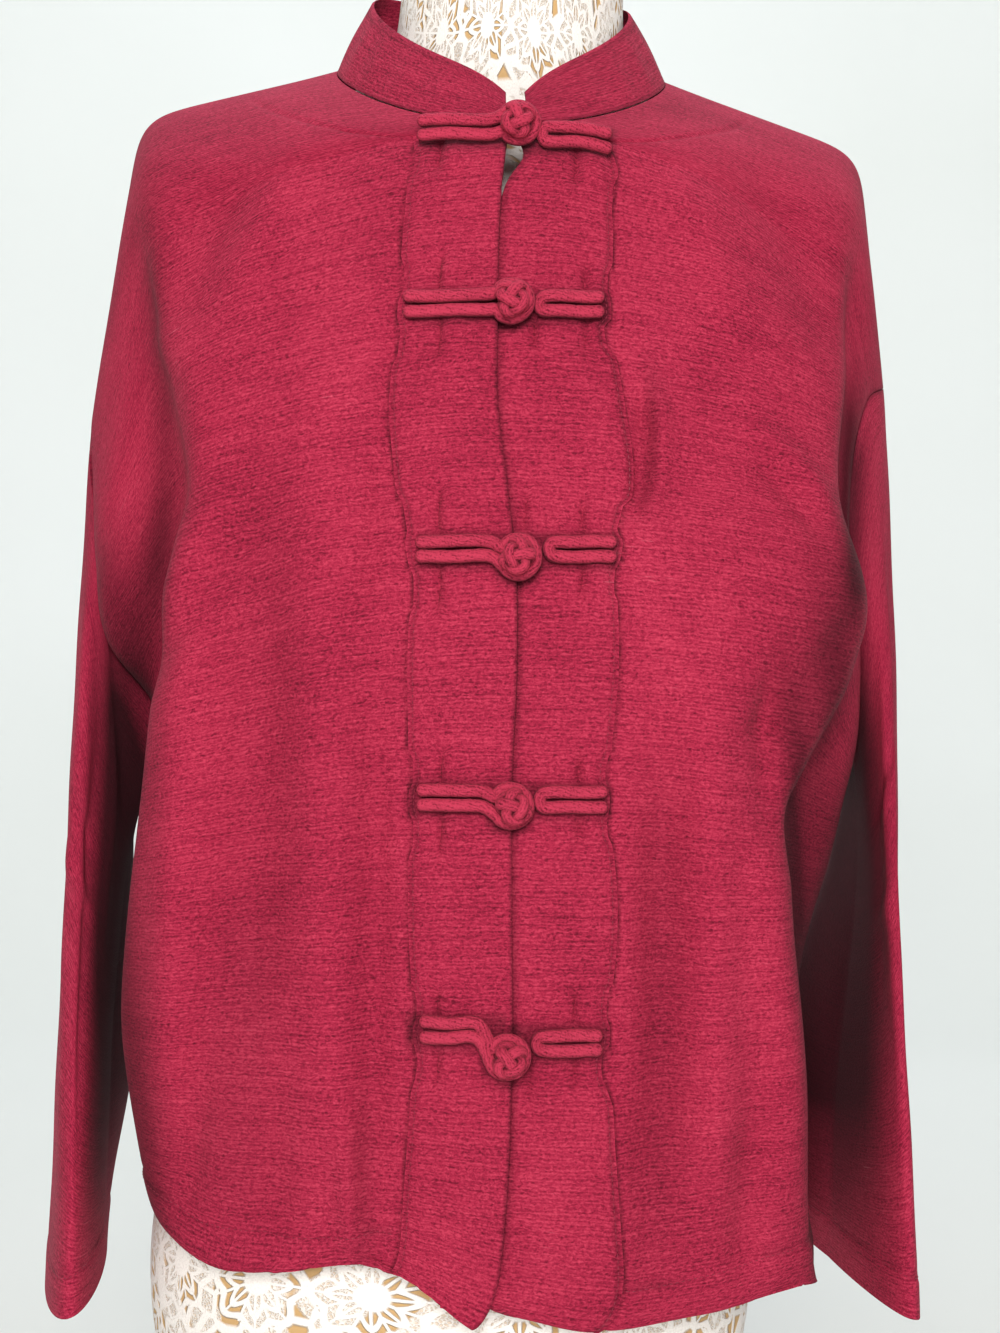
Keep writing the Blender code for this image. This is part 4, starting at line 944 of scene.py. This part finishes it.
# A cord: oval rings across a path, each ring at half width cos t, half height sin t, with
# rounded ends where the ring shrinks as a quarter circle.
def sweep(path, up, halfWidth, halfHeight, sides, uneven=0.0, seed=0.0, closed=False):
    count = len(path)
    if closed:
        way = (np.roll(path, -1, axis=0) - np.roll(path, 1, axis=0))
    else:
        way = np.gradient(path, axis=0)
    way /= np.linalg.norm(way, axis=1, keepdims=True)
    across = np.cross(way, up)
    across /= np.linalg.norm(across, axis=1, keepdims=True)
    raised = np.cross(across, way)
    run = np.concatenate([[0], np.cumsum(np.linalg.norm(np.diff(path, axis=0), axis=1))])
    size = 1 + uneven * (np.sin(run * 610 + seed) + 0.6 * np.sin(run * 1370 + 2 * seed))
    if not closed:
        toEnd = np.minimum(run, run[-1] - run) / halfWidth
        size = size * np.sqrt(np.clip(1 - (1 - np.clip(toEnd, 0, 1)) ** 2, 0.02, 1))
    turn = 2 * pi * (np.arange(sides) + 0.5) / sides
    ring = (across[:, None] * (halfWidth * np.cos(turn))[None, :, None]
            + raised[:, None] * (halfHeight * np.sin(turn))[None, :, None])
    grid = path[:, None] + ring * size[:, None, None]
    index = np.arange(count * sides).reshape(count, sides)
    index = np.concatenate([index, index[:, :1]], axis=1)
    u = np.linspace(0, 2 * pi * halfWidth, sides + 1)
    uv = np.stack(np.broadcast_arrays(run[:, None], u[None, :] + 0.25 * run[:, None]), axis=-1)
    if closed:
        index = np.concatenate([index, index[:1]], axis=0)
        uv = np.concatenate([uv, uv[-1:] + uv[1:2] - uv[:1]], axis=0)
    quads = np.stack([index[:-1, :-1], index[1:, :-1], index[1:, 1:], index[:-1, 1:]], axis=-1)
    quadUv = np.stack([uv[:-1, :-1], uv[1:, :-1], uv[1:, 1:], uv[:-1, 1:]], axis=2)
    faces = quads.reshape(-1, 4).tolist()
    uvs = quadUv.reshape(-1, 2)
    if not closed:
        faces.append(list(range(sides))[::-1])
        faces.append(list(range((count - 1) * sides, count * sides)))
        uvs = np.concatenate([uvs, np.zeros((2 * sides, 2))])
    return grid.reshape(-1, 3), faces, uvs


# Points read evenly along a smooth curve through the given ones.
def smoothPath(points, steps):
    fine = curveThrough(np.asarray(points), np.linspace(0, len(points) - 1, steps * 3))
    run = np.concatenate([[0], np.cumsum(np.linalg.norm(np.diff(fine, axis=0), axis=1))])
    even = np.linspace(0, run[-1], steps)
    return np.stack([np.interp(even, run, fine[:, k]) for k in range(3)], axis=-1)


# Two bodies of points and faces as one.
def joinParts(parts):
    points, faces, uvs, base = [], [], [], 0
    for partPoints, partFaces, partUvs in parts:
        points.append(partPoints)
        faces += [[k + base for k in face] for face in partFaces]
        uvs.append(partUvs)
        base += len(partPoints)
    return np.concatenate(points), faces, np.concatenate(uvs)


knotValues = {"core": 0.0066, "cord": 0.0029, "ride": 0.0066, "height": 0.0108, "squash": 0.80,
              "leads": 3, "bights": 4, "tall": 0.86, "steps": 260, "sides": 10, "coreSides": 20}
knotTurns = ((0.35, 0.2), (-0.25, 1.1), (0.55, 2.4), (-0.45, 3.3), (0.2, 4.6))


# A button knot: a core ball, and a cord that goes 3 times round while its latitude swings
# 4 times, tall sin(4t), and rises and dips by sin(8t) as it passes over and under itself.
def buttonKnot(name, node, foot, normal, turn, v):
    normal = normal / np.linalg.norm(normal)
    sideways = np.cross(normal, (0, 0, 1))
    sideways /= np.linalg.norm(sideways)
    rise = np.cross(sideways, normal)
    tilt, spin = turn
    axis = sideways * cos(tilt) + rise * sin(tilt)
    second = np.cross(normal, axis)
    t = np.linspace(0, 2 * pi, v["steps"], endpoint=False)
    latitude = v["tall"] * np.sin(v["bights"] * t)
    longitude = v["leads"] * t + spin
    radius = v["ride"] + 0.0011 * np.sin(2 * v["bights"] * t)
    ball = (axis * (radius * np.sin(latitude))[:, None]
            + second * (radius * np.cos(latitude) * np.cos(longitude))[:, None]
            + normal * (radius * v["squash"] * np.cos(latitude) * np.sin(longitude))[:, None])
    centre = foot + normal * v["height"]
    up = ball / np.linalg.norm(ball, axis=1, keepdims=True)
    cordPart = sweep(centre + ball, up, v["cord"], v["cord"] * 0.72, v["sides"], 0.03, spin, True)
    polar = np.linspace(0.02, pi - 0.02, 14)
    profile = [(v["core"] * sin(a), v["height"] - v["core"] * v["squash"] * cos(a)) for a in polar]
    profile = [(0.0024, 4 * gap), (0.0022, v["height"] * 0.4)] + profile[2:]
    around = 2 * pi * np.arange(v["coreSides"]) / v["coreSides"]
    rings = np.array([foot + normal * height + radius * (sideways * np.cos(around)[:, None]
                      + rise * np.sin(around)[:, None]) for radius, height in profile])
    faces = tubeFaces(len(profile), v["coreSides"])
    uvs = np.zeros((sum(len(face) for face in faces), 2))
    points, faces, uvs = joinParts([cordPart, (rings.reshape(-1, 3), faces, uvs)])
    # Painted shade on the knot: darker where a point lies deep, in the grooves between the cord's passes
    # and on the core.
    outwards = np.linalg.norm((points - centre) / (1, v["squash"], 1), axis=1)
    shade = np.clip((v["ride"] + v["cord"] * 0.75 - outwards) / (v["cord"] * 1.1), 0, 0.9)
    points[:, 2] += mark
    made = makeMesh(name, points, faces, uvs, cordCrepe, shade=shade)
    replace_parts(made, node)
    return made


upper, lower = bands[-1], bands[1]
for number, (loopZ, knotZ, barZ, knotX) in enumerate(frogs):
    level = min(loopZ, knotZ) - frogValues["loop"]
    _, normal, edge = onBand(upper, level, knotX - 0.02)
    normal = normal * (1, 1, 0)
    normal /= np.linalg.norm(normal)
    rest = frogValues["halfHeight"] + 2 * gap
    start = edge + 0.001
    laneX = knotX - frogValues["loop"] - 0.006
    turns = np.radians(np.linspace(150, -150, 13))
    loopX = knotX + frogValues["loop"] * np.cos(turns)
    loopTop = knotZ + frogValues["loop"] * np.sin(turns)
    middleX = (start + laneX) / 2
    lane = frogValues["lane"]
    flat = ([(start, loopZ + lane), (middleX, loopZ + lane), (laneX, loopZ + lane)]
            + list(zip(loopX, loopTop))
            + [(laneX, loopZ - lane), (middleX, loopZ - lane), (start, loopZ - lane)])
    path = []
    for x, z in flat:
        face, _, _ = onBand(upper, level, min(x, knotX - frogValues["loop"]))
        path.append(np.array([x, face[1], z]) + normal * rest)
    fine = smoothPath(path, frogValues["steps"])
    wander = np.sin(np.linspace(0, 23, len(fine)) + number * 1.9) * 0.00022
    fine[:, 2] += wander
    points, faces, uvs = sweep(fine, normal, frogValues["halfWidth"], frogValues["halfHeight"],
                               frogValues["sides"], 0.018, number * 2.0)
    shade = cordShade(points, fine, normal, frogValues["halfHeight"])
    points[:, 2] += mark
    made = makeMesh(f"frogLoop{number + 1}", points, faces, uvs, cordCrepe, shade=shade)
    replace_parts(made, f"frog_loop_{number + 1}")

    begin = knotX + frogValues["loop"] + frogValues["halfWidth"] + 0.0020
    level = barZ - 2 * lane
    _, low, edge = onBand(lower, level, knotX + 0.03)
    low = low * (1, 1, 0)
    low /= np.linalg.norm(low)
    end = edge - 0.001
    sag = 0.003 if number == 0 else 0.0
    flat = [(end, barZ + lane - sag), ((begin + end) / 2, barZ + lane), (begin + 0.005, barZ + lane),
            (begin + 0.0012, barZ + lane * 0.8), (begin, barZ), (begin + 0.0012, barZ - lane * 0.8),
            (begin + 0.005, barZ - lane), ((begin + end) / 2, barZ - lane), (end, barZ - lane - sag)]
    path = [np.array([x, onBand(lower, level, x)[0][1], z]) + low * rest for x, z in flat]
    fine = smoothPath(path, 100)
    fine[:, 2] += np.sin(np.linspace(0, 17, len(fine)) + number * 2.7) * 0.00022
    points, faces, uvs = sweep(fine, low, frogValues["halfWidth"], frogValues["halfHeight"],
                               frogValues["sides"], 0.018, number * 3.0)
    shade = cordShade(points, fine, low, frogValues["halfHeight"])
    points[:, 2] += mark
    made = makeMesh(f"frogBar{number + 1}", points, faces, uvs, cordCrepe, shade=shade)
    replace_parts(made, f"frog_bar_{number + 1}")
    level = min(loopZ, knotZ) - frogValues["loop"]
    foot = np.array([knotX, onBand(upper, level, knotX)[0][1], knotZ])
    buttonKnot(f"knotButton{number + 1}", f"knot_{number + 1}", foot, normal, knotTurns[number],
               knotValues)
print("frogs and knots made")

stitchValues = {"step": 0.0031, "long": 0.0021, "half": 0.00022, "proud": 0.00022,
                "fromBandEdge": 0.0026, "fromHem": 0.0215, "fromCuff": 0.0205}


# Stitches along a line that lies on the cloth: each one is a thin spindle, its two tips sunk
# in the cloth and its middle standing proud by half a thread.
def stitchLine(points, normals, v):
    run = np.concatenate([[0], np.cumsum(np.linalg.norm(np.diff(points, axis=0), axis=1))])
    places = np.arange(v["step"], run[-1] - v["step"], v["step"])
    middles = np.stack([np.interp(places, run, points[:, k]) for k in range(3)], axis=-1)
    ahead = np.stack([np.interp(places + 0.0004, run, points[:, k]) for k in range(3)], axis=-1)
    n = np.stack([np.interp(places, run, normals[:, k]) for k in range(3)], axis=-1)
    n /= np.linalg.norm(n, axis=1, keepdims=True)
    way = ahead - middles
    way /= np.linalg.norm(way, axis=1, keepdims=True)
    across = np.cross(n, way)
    shape = [(-0.5, 0, -0.3)]
    for place in (-0.25, 0.25):
        shape += [(place, 1, 0), (place, 0, 1), (place, -1, 0), (place, 0, -1)]
    shape = np.array(shape + [(0.5, 0, -0.3)])
    points = (middles[:, None] + way[:, None] * (shape[:, 0] * v["long"])[None, :, None]
              + across[:, None] * (shape[:, 1] * v["half"])[None, :, None]
              + n[:, None] * (shape[:, 2] * v["proud"] + 0.00008)[None, :, None])
    faces = [(0, 2, 1), (0, 3, 2), (0, 4, 3), (0, 1, 4), (9, 5, 6), (9, 6, 7), (9, 7, 8), (9, 8, 5),
             (1, 2, 6, 5), (2, 3, 7, 6), (3, 4, 8, 7), (4, 1, 5, 8)]
    allFaces = [tuple(k + 10 * n for k in face) for n in range(len(places)) for face in faces]
    return points.reshape(-1, 3), allFaces, np.zeros((sum(len(face) for face in allFaces), 2))


# The line across a grid at a distance from its last column, or its last row.
def insideEdge(grid, normals, distance, bottom=False):
    both = np.concatenate([grid, normals], axis=-1)
    if bottom:
        both = both.transpose(1, 0, 2)
    run = runOf(both[..., :3])
    place = run[:, -1] - distance
    out = np.array([[np.interp(place[r], run[r], both[r, :, k]) for k in range(6)]
                    for r in range(len(both))])
    return out[:, :3], out[:, 3:]


threadLines = [insideEdge(*bands[side], stitchValues["fromBandEdge"]) for side in (-1, 1)]
threadLines += [insideEdge(grid, normals, stitchValues["fromHem"], True)
                for grid, normals in ((right, nRight), (left, nLeft), (thinBack, thinNormals))]
for side in (-1, 1):
    cuff, cuffNormals = insideEdge(*sleeveCuffs[side], stitchValues["fromCuff"], True)
    threadLines.append((np.concatenate([cuff, cuff[:1]]), np.concatenate([cuffNormals, cuffNormals[:1]])))
threadPoints, threadFaces, threadUvs = joinParts([stitchLine(*line, stitchValues)
                                                  for line in threadLines])
threadPoints[:, 2] += mark


# Sewing thread: a darker, slightly shiny red, so that each stitch reads as a small dash.
def threadMaterial():
    made, tree, shader = newMaterial("polyester sewing thread")
    place = addNode(tree, "ShaderNodeTexCoord").outputs["Object"]
    noise = addNode(tree, "ShaderNodeTexNoise", {"Scale": 900.0, "Detail": 1.0}, {"Vector": place})
    ramp = addRamp(tree, [(0.3, "#7A1A33"), (0.7, "#962641")], noise.outputs["Fac"])
    tree.links.new(ramp.outputs["Color"], shader.inputs["Base Color"])
    shader.inputs["Roughness"].default_value = 0.6
    return made


makeMesh("stitches", threadPoints, threadFaces, threadUvs, threadMaterial())
print("stitches made")


# Upright torso: height, half width, front, back, squareness of each section.
formRows = np.array([
    (-0.395, 0.1480, 0.094, 0.102, 2.2), (-0.370, 0.1590, 0.101, 0.108, 2.2),
    (-0.310, 0.1635, 0.106, 0.112, 2.2), (-0.230, 0.1500, 0.100, 0.096, 2.2),
    (-0.130, 0.1220, 0.088, 0.080, 2.2), (-0.030, 0.1320, 0.100, 0.082, 2.2),
    (0.060, 0.1480, 0.116, 0.090, 2.2), (0.140, 0.1600, 0.096, 0.092, 2.2),
    (0.205, 0.1760, 0.072, 0.080, 2.3), (0.245, 0.1840, 0.052, 0.064, 2.3),
    (0.268, 0.1800, 0.044, 0.058, 2.2), (0.282, 0.1640, 0.044, 0.060, 2.2),
    (0.293, 0.1350, 0.046, 0.060, 2.0), (0.303, 0.1050, 0.048, 0.056, 2.0),
    (0.313, 0.0800, 0.050, 0.053, 2.0), (0.330, 0.0660, 0.053, 0.050, 2.0),
    (0.350, 0.0620, 0.056, 0.046, 2.0), (0.388, 0.0600, 0.056, 0.044, 2.0),
])
formValues = {"lean": radians(2.8), "shift": -0.0045, "rows": 190, "sides": 128,
              "strand": "#FBF6F2", "under": "#CDA672", "motif": 0.054, "net": 620.0}


# Crochet lace over tan cloth: the eye reads white thread flowers joined by a fine net, with
# tan in the holes. thread is the most of petal rings, spokes and net, where a ring is the place
# whose distance from the motif's middle is near base + petal cos(count angle).
def laceMaterial(v):
    made, tree, shader = newMaterial("crochet lace over cloth")
    place = addNode(tree, "ShaderNodeUVMap", {"uv_map": "cloth"}).outputs["UV"]
    sized = addNode(tree, "ShaderNodeVectorMath", {"operation": "MULTIPLY", 1: (1 / v["motif"],) * 3},
                    {0: place})
    bent = addNode(tree, "ShaderNodeTexNoise", {"Scale": 1.3, "Detail": 1.0}, {"Vector": sized.outputs[0]})
    centredBend = addNode(tree, "ShaderNodeVectorMath", {"operation": "SUBTRACT", 1: (0.5,) * 3},
                          {0: bent.outputs["Color"]})
    smallBend = addNode(tree, "ShaderNodeVectorMath", {"operation": "SCALE", "Scale": 0.16},
                        {0: centredBend.outputs[0]})
    moved = addNode(tree, "ShaderNodeVectorMath", {"operation": "ADD"},
                    {0: sized.outputs[0], 1: smallBend.outputs[0]})
    cell = addNode(tree, "ShaderNodeVectorMath", {"operation": "FRACTION"}, {0: moved.outputs[0]})
    local = addNode(tree, "ShaderNodeVectorMath", {"operation": "SUBTRACT", 1: (0.5, 0.5, 0.0)},
                    {0: cell.outputs[0]})
    parts = addNode(tree, "ShaderNodeSeparateXYZ", links={0: local.outputs[0]})
    flatLocal = addNode(tree, "ShaderNodeCombineXYZ", links={0: parts.outputs[0], 1: parts.outputs[1]})
    far = addNode(tree, "ShaderNodeVectorMath", {"operation": "LENGTH"}, {0: flatLocal.outputs[0]})
    angle = addNode(tree, "ShaderNodeMath", {"operation": "ARCTAN2"},
                    {0: parts.outputs[1], 1: parts.outputs[0]})
    rings = []
    for base, petal, count, width in ((0.43, 0.045, 8.0, 0.060), (0.27, 0.055, 8.0, 0.055),
                                      (0.09, 0.0, 1.0, 0.075)):
        many = addNode(tree, "ShaderNodeMath", {"operation": "MULTIPLY", 1: count}, {0: angle.outputs[0]})
        wave = addNode(tree, "ShaderNodeMath", {"operation": "COSINE"}, {0: many.outputs[0]})
        reach = addNode(tree, "ShaderNodeMath", {"operation": "MULTIPLY_ADD", 1: petal, 2: base},
                        {0: wave.outputs[0]})
        apart = addNode(tree, "ShaderNodeMath", {"operation": "SUBTRACT"},
                        {0: far.outputs["Value"], 1: reach.outputs[0]})
        near = addNode(tree, "ShaderNodeMath", {"operation": "ABSOLUTE"}, {0: apart.outputs[0]})
        rings.append(addNode(tree, "ShaderNodeMapRange",
                             {"From Min": width * 0.55, "From Max": width, "To Min": 1.0, "To Max": 0.0,
                              "interpolation_type": "SMOOTHSTEP"}, {"Value": near.outputs[0]}))
    # Spokes: where distance * |sin(8 angle)| is small, out to the outer ring.
    four = addNode(tree, "ShaderNodeMath", {"operation": "MULTIPLY", 1: 8.0}, {0: angle.outputs[0]})
    swing = addNode(tree, "ShaderNodeMath", {"operation": "SINE"}, {0: four.outputs[0]})
    swingSize = addNode(tree, "ShaderNodeMath", {"operation": "ABSOLUTE"}, {0: swing.outputs[0]})
    beside = addNode(tree, "ShaderNodeMath", {"operation": "MULTIPLY"},
                     {0: swingSize.outputs[0], 1: far.outputs["Value"]})
    spoke = addNode(tree, "ShaderNodeMapRange",
                    {"From Min": 0.09, "From Max": 0.16, "To Min": 1.0, "To Max": 0.0},
                    {"Value": beside.outputs[0]})
    within = addNode(tree, "ShaderNodeMath", {"operation": "LESS_THAN", 1: 0.44},
                     {0: far.outputs["Value"]})
    spokeShown = addNode(tree, "ShaderNodeMath", {"operation": "MULTIPLY"},
                         {0: spoke.outputs[0], 1: within.outputs[0]})
    netPlace = addNode(tree, "ShaderNodeVectorMath", {"operation": "MULTIPLY", 1: (v["net"],) * 3},
                       {0: place})
    net = addNode(tree, "ShaderNodeTexVoronoi", {"feature": "DISTANCE_TO_EDGE", "Scale": 1.0},
                  {"Vector": netPlace.outputs[0]})
    netLine = addNode(tree, "ShaderNodeMapRange",
                      {"From Min": 0.05, "From Max": 0.24, "To Min": 0.95, "To Max": 0.50},
                      {"Value": net.outputs["Distance"]})
    bigNet = addNode(tree, "ShaderNodeTexVoronoi", {"feature": "DISTANCE_TO_EDGE", "Scale": 4.2},
                     {"Vector": sized.outputs[0]})
    bigLine = addNode(tree, "ShaderNodeMapRange",
                      {"From Min": 0.10, "From Max": 0.17, "To Min": 1.0, "To Max": 0.0},
                      {"Value": bigNet.outputs["Distance"]})
    outside = addNode(tree, "ShaderNodeMath", {"operation": "GREATER_THAN", 1: 0.44},
                      {0: far.outputs["Value"]})
    bigShown = addNode(tree, "ShaderNodeMath", {"operation": "MULTIPLY"},
                       {0: bigLine.outputs[0], 1: outside.outputs[0]})
    # The fine net fills only some of the ground, as the closed meshes of crochet do.
    openGround = addNode(tree, "ShaderNodeTexNoise", {"Scale": 2.1, "Detail": 0.0},
                         {"Vector": sized.outputs[0]})
    ground = addNode(tree, "ShaderNodeMapRange",
                     {"From Min": 0.42, "From Max": 0.45, "To Min": 0.0, "To Max": 1.0},
                     {"Value": openGround.outputs["Fac"]})
    total = addNode(tree, "ShaderNodeMath", {"operation": "MULTIPLY"},
                    {0: netLine.outputs[0], 1: ground.outputs[0]}).outputs[0]
    for part in rings + [spokeShown, bigShown]:
        total = addNode(tree, "ShaderNodeMath", {"operation": "MAXIMUM"},
                        {0: total, 1: part.outputs[0]}).outputs[0]
    twist = addNode(tree, "ShaderNodeTexNoise", {"Scale": 900.0, "Detail": 2.0}, {"Vector": place})
    shade = addNode(tree, "ShaderNodeMath", {"operation": "MULTIPLY_ADD", 1: 0.35, 2: 0.82},
                    {0: twist.outputs["Fac"]})
    thread = addNode(tree, "ShaderNodeMix",
                     {"data_type": "RGBA", "blend_type": "MULTIPLY", 0: 1.0, 6: linear(v["strand"])},
                     {7: shade.outputs[0]})
    colour = addNode(tree, "ShaderNodeMix", {"data_type": "RGBA", 6: linear(v["under"])},
                     {0: total, 7: thread.outputs[2]})
    height = addNode(tree, "ShaderNodeMath", {"operation": "MULTIPLY"}, {0: total, 1: shade.outputs[0]})
    raised = addNode(tree, "ShaderNodeBump", {"Strength": 0.9, "Distance": 0.0012},
                     {"Height": height.outputs[0]})
    tree.links.new(colour.outputs[2], shader.inputs["Base Color"])
    tree.links.new(raised.outputs[0], shader.inputs["Normal"])
    shader.inputs["Roughness"].default_value = 0.75
    return made


# The torso: superellipse sections, x = half cos^k, y = front or back sin^k, leaned over, with
# its two ends closed by rings that shrink to a small disc.
def formTorso(v):
    table = curveThrough(formRows, np.linspace(0, len(formRows) - 1, v["rows"]))
    heights, shrink = list(table[:, 0]), [1.0] * len(table)
    caps = [(0.97, 0.0012), (0.88, 0.0026), (0.6, 0.0036), (0.2, 0.0040), (0.02, 0.0041)]
    low = [table[0]] * len(caps)
    high = [table[-1]] * len(caps)
    table = np.array(low + list(table) + high)
    shrink = np.array([c[0] for c in caps][::-1] + shrink + [c[0] for c in caps])
    rise = np.array([0.0] * (len(caps) + len(heights)) + [c[1] for c in caps])
    turn = 2 * pi * np.arange(v["sides"]) / v["sides"]
    c, s = np.cos(turn)[None], np.sin(turn)[None]
    height, half, front, rear, square = [table[:, k][:, None] for k in range(5)]
    x = half * np.sign(c) * np.abs(c) ** (2 / square) * shrink[:, None]
    y = np.where(s > 0, rear, front) * np.sign(s) * np.abs(s) ** (2 / square) * shrink[:, None]
    above = height - formRows[0, 0] + rise[:, None]
    lean = v["lean"]
    grid = np.stack([x * cos(lean) + above * sin(lean) + v["shift"], y,
                     above * cos(lean) - x * sin(lean) + formRows[0, 0] + mark], axis=-1)
    around = np.linspace(0, 16, v["sides"] + 1)[None, :] * v["motif"]
    tall = np.broadcast_to(above, (len(table), 1))
    uv = np.stack(np.broadcast_arrays(around, tall), axis=-1)
    quadUv = np.stack([uv[:-1, :-1], uv[1:, :-1], uv[1:, 1:], uv[:-1, 1:]], axis=2)
    faces = tubeFaces(len(grid), v["sides"])
    uvs = np.concatenate([quadUv.reshape(-1, 2), np.zeros((2 * v["sides"], 2))])
    return makeMesh("formTorso", grid.reshape(-1, 3), faces, uvs, laceMaterial(v), 80)


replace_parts(formTorso(formValues), "form_torso")


# Painted metal: an even satin coat with a faint unevenness that breaks up the highlight.
def paintMaterial():
    made, tree, shader = newMaterial("satin painted steel")
    place = addNode(tree, "ShaderNodeTexCoord").outputs["Object"]
    noise = addNode(tree, "ShaderNodeTexNoise", {"Scale": 60.0, "Detail": 3.0}, {"Vector": place})
    ramp = addRamp(tree, [(0.3, "#B9B8B4"), (0.7, "#C9C8C4")], noise.outputs["Fac"])
    rough = addNode(tree, "ShaderNodeMapRange", {"To Min": 0.38, "To Max": 0.50},
                    {"Value": noise.outputs["Fac"]})
    tree.links.new(ramp.outputs["Color"], shader.inputs["Base Color"])
    tree.links.new(rough.outputs[0], shader.inputs["Roughness"])
    shader.inputs["Metallic"].default_value = 0.35
    return made


paint = paintMaterial()


# A turned solid: each (radius, height) of the profile is a ring about the upright axis.
def turned(name, profile, stuff, sides=96):
    turn = 2 * pi * np.arange(sides) / sides
    points = np.array([np.stack([r * np.cos(turn), r * np.sin(turn), h + 0 * turn], axis=-1)
                       for r, h in profile]).reshape(-1, 3)
    return makeMesh(name, points, tubeFaces(len(profile), sides), None, stuff, 35)


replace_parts(turned("standBase", [(0.157, 0), (0.1591, 0.0009), (0.160, 0.003), (0.160, 0.010),
                                 (0.1585, 0.0138), (0.154, 0.016), (0.030, 0.019), (0.025, 0.0225),
                                 (0.022, 0.034), (0.020, 0.046)], paint), "form_base")
poleTop = mark + formRows[0, 0] - formRows[0, 1] * sin(formValues["lean"]) - 0.001
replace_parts(turned("standPole", [(0.014, 0.0463), (0.014, poleTop)], paint, 48), "form_pole")
print("form and stand made")

stageValues = {"wall": 3.4, "curve": 1.7, "height": 3.6, "sides": 96, "low": "#D9DBD6", "high": "#E0E2DE"}


# A round floor that curves up into a wall all about: flat, then a quarter circle, then upright.
def backdrop(v):
    bend = np.linspace(0, pi / 2, 30)
    radii = np.concatenate([[0.3, 0.9], v["wall"] - v["curve"] * (1 - np.sin(bend)), [v["wall"]]])
    heights = np.concatenate([[0, 0], v["curve"] * (1 - np.cos(bend)), [v["height"]]])
    turn = 2 * pi * np.arange(v["sides"]) / v["sides"]
    rings = np.stack([radii[:, None] * np.cos(turn), radii[:, None] * np.sin(turn),
                      heights[:, None] - 0.0005 + 0 * turn], axis=-1)
    index = np.arange(len(radii) * v["sides"]).reshape(-1, v["sides"])
    index = np.concatenate([index, index[:, :1]], axis=1)
    quads = np.stack([index[:-1, :-1], index[1:, :-1], index[1:, 1:], index[:-1, 1:]], axis=-1)
    points = rings.reshape(-1, 3).tolist()
    faces = quads.reshape(-1, 4).tolist() + [list(range(v["sides"]))]
    mesh = bpy.data.meshes.new("studioSweep")
    mesh.from_pydata(points, [], faces)
    mesh.shade_smooth()
    made = bpy.data.objects.new("studioSweep", mesh)
    bpy.context.scene.collection.objects.link(made)
    stuff, tree, shader = newMaterial("matt wall paint")
    place = addNode(tree, "ShaderNodeTexCoord").outputs["Object"]
    noise = addNode(tree, "ShaderNodeTexNoise", {"Scale": 0.8, "Detail": 2.0}, {"Vector": place})
    ramp = addRamp(tree, [(0.3, v["low"]), (0.7, v["high"])], noise.outputs["Fac"])
    tree.links.new(ramp.outputs["Color"], shader.inputs["Base Color"])
    shader.inputs["Roughness"].default_value = 0.9
    mesh.materials.append(stuff)


backdrop(stageValues)

# Each light: its name, place, aim, size, watts and colour.
lights = (("windowLight", (-0.05, -2.3, 1.15), (0, 0, 0.58), 0.8, 53.5, "#FFFBF6"),
          ("roomLight", (1.5, -2.6, 0.8), (0, 0, 0.5), 1.6, 5.0, "#F6F9FF"),
          ("wallLight", (0.0, 0.7, 2.9), (0, 3.0, 0.7), 1.8, 84.0, "#F4F8FF"))
for name, place, aim, size, power, colour in lights:
    lamp = bpy.data.lights.new(name, "AREA")
    lamp.size = size
    lamp.energy = power
    lamp.color = linear(colour)[:3]
    made = bpy.data.objects.new(name, lamp)
    made.location = place
    made.rotation_euler = (Vector(aim) - Vector(place)).to_track_quat("-Z", "Y").to_euler()
    bpy.context.scene.collection.objects.link(made)

world = bpy.data.worlds.new("studio air")
world.use_nodes = True
world.node_tree.nodes["Background"].inputs[0].default_value = linear("#F2F4F4")
world.node_tree.nodes["Background"].inputs[1].default_value = 0.05
bpy.context.scene.world = world
bpy.context.scene.view_settings.view_transform = "Standard"

lens = bpy.data.cameras.new("camera")
lens.lens = 50
lens.sensor_width = 36
camera = bpy.data.objects.new("camera", lens)
camera.location = (0.0259, -1.02, 0.53)
camera.rotation_euler = (radians(90), 0, 0)
bpy.context.scene.collection.objects.link(camera)
bpy.context.scene.camera = camera
print("studio made")
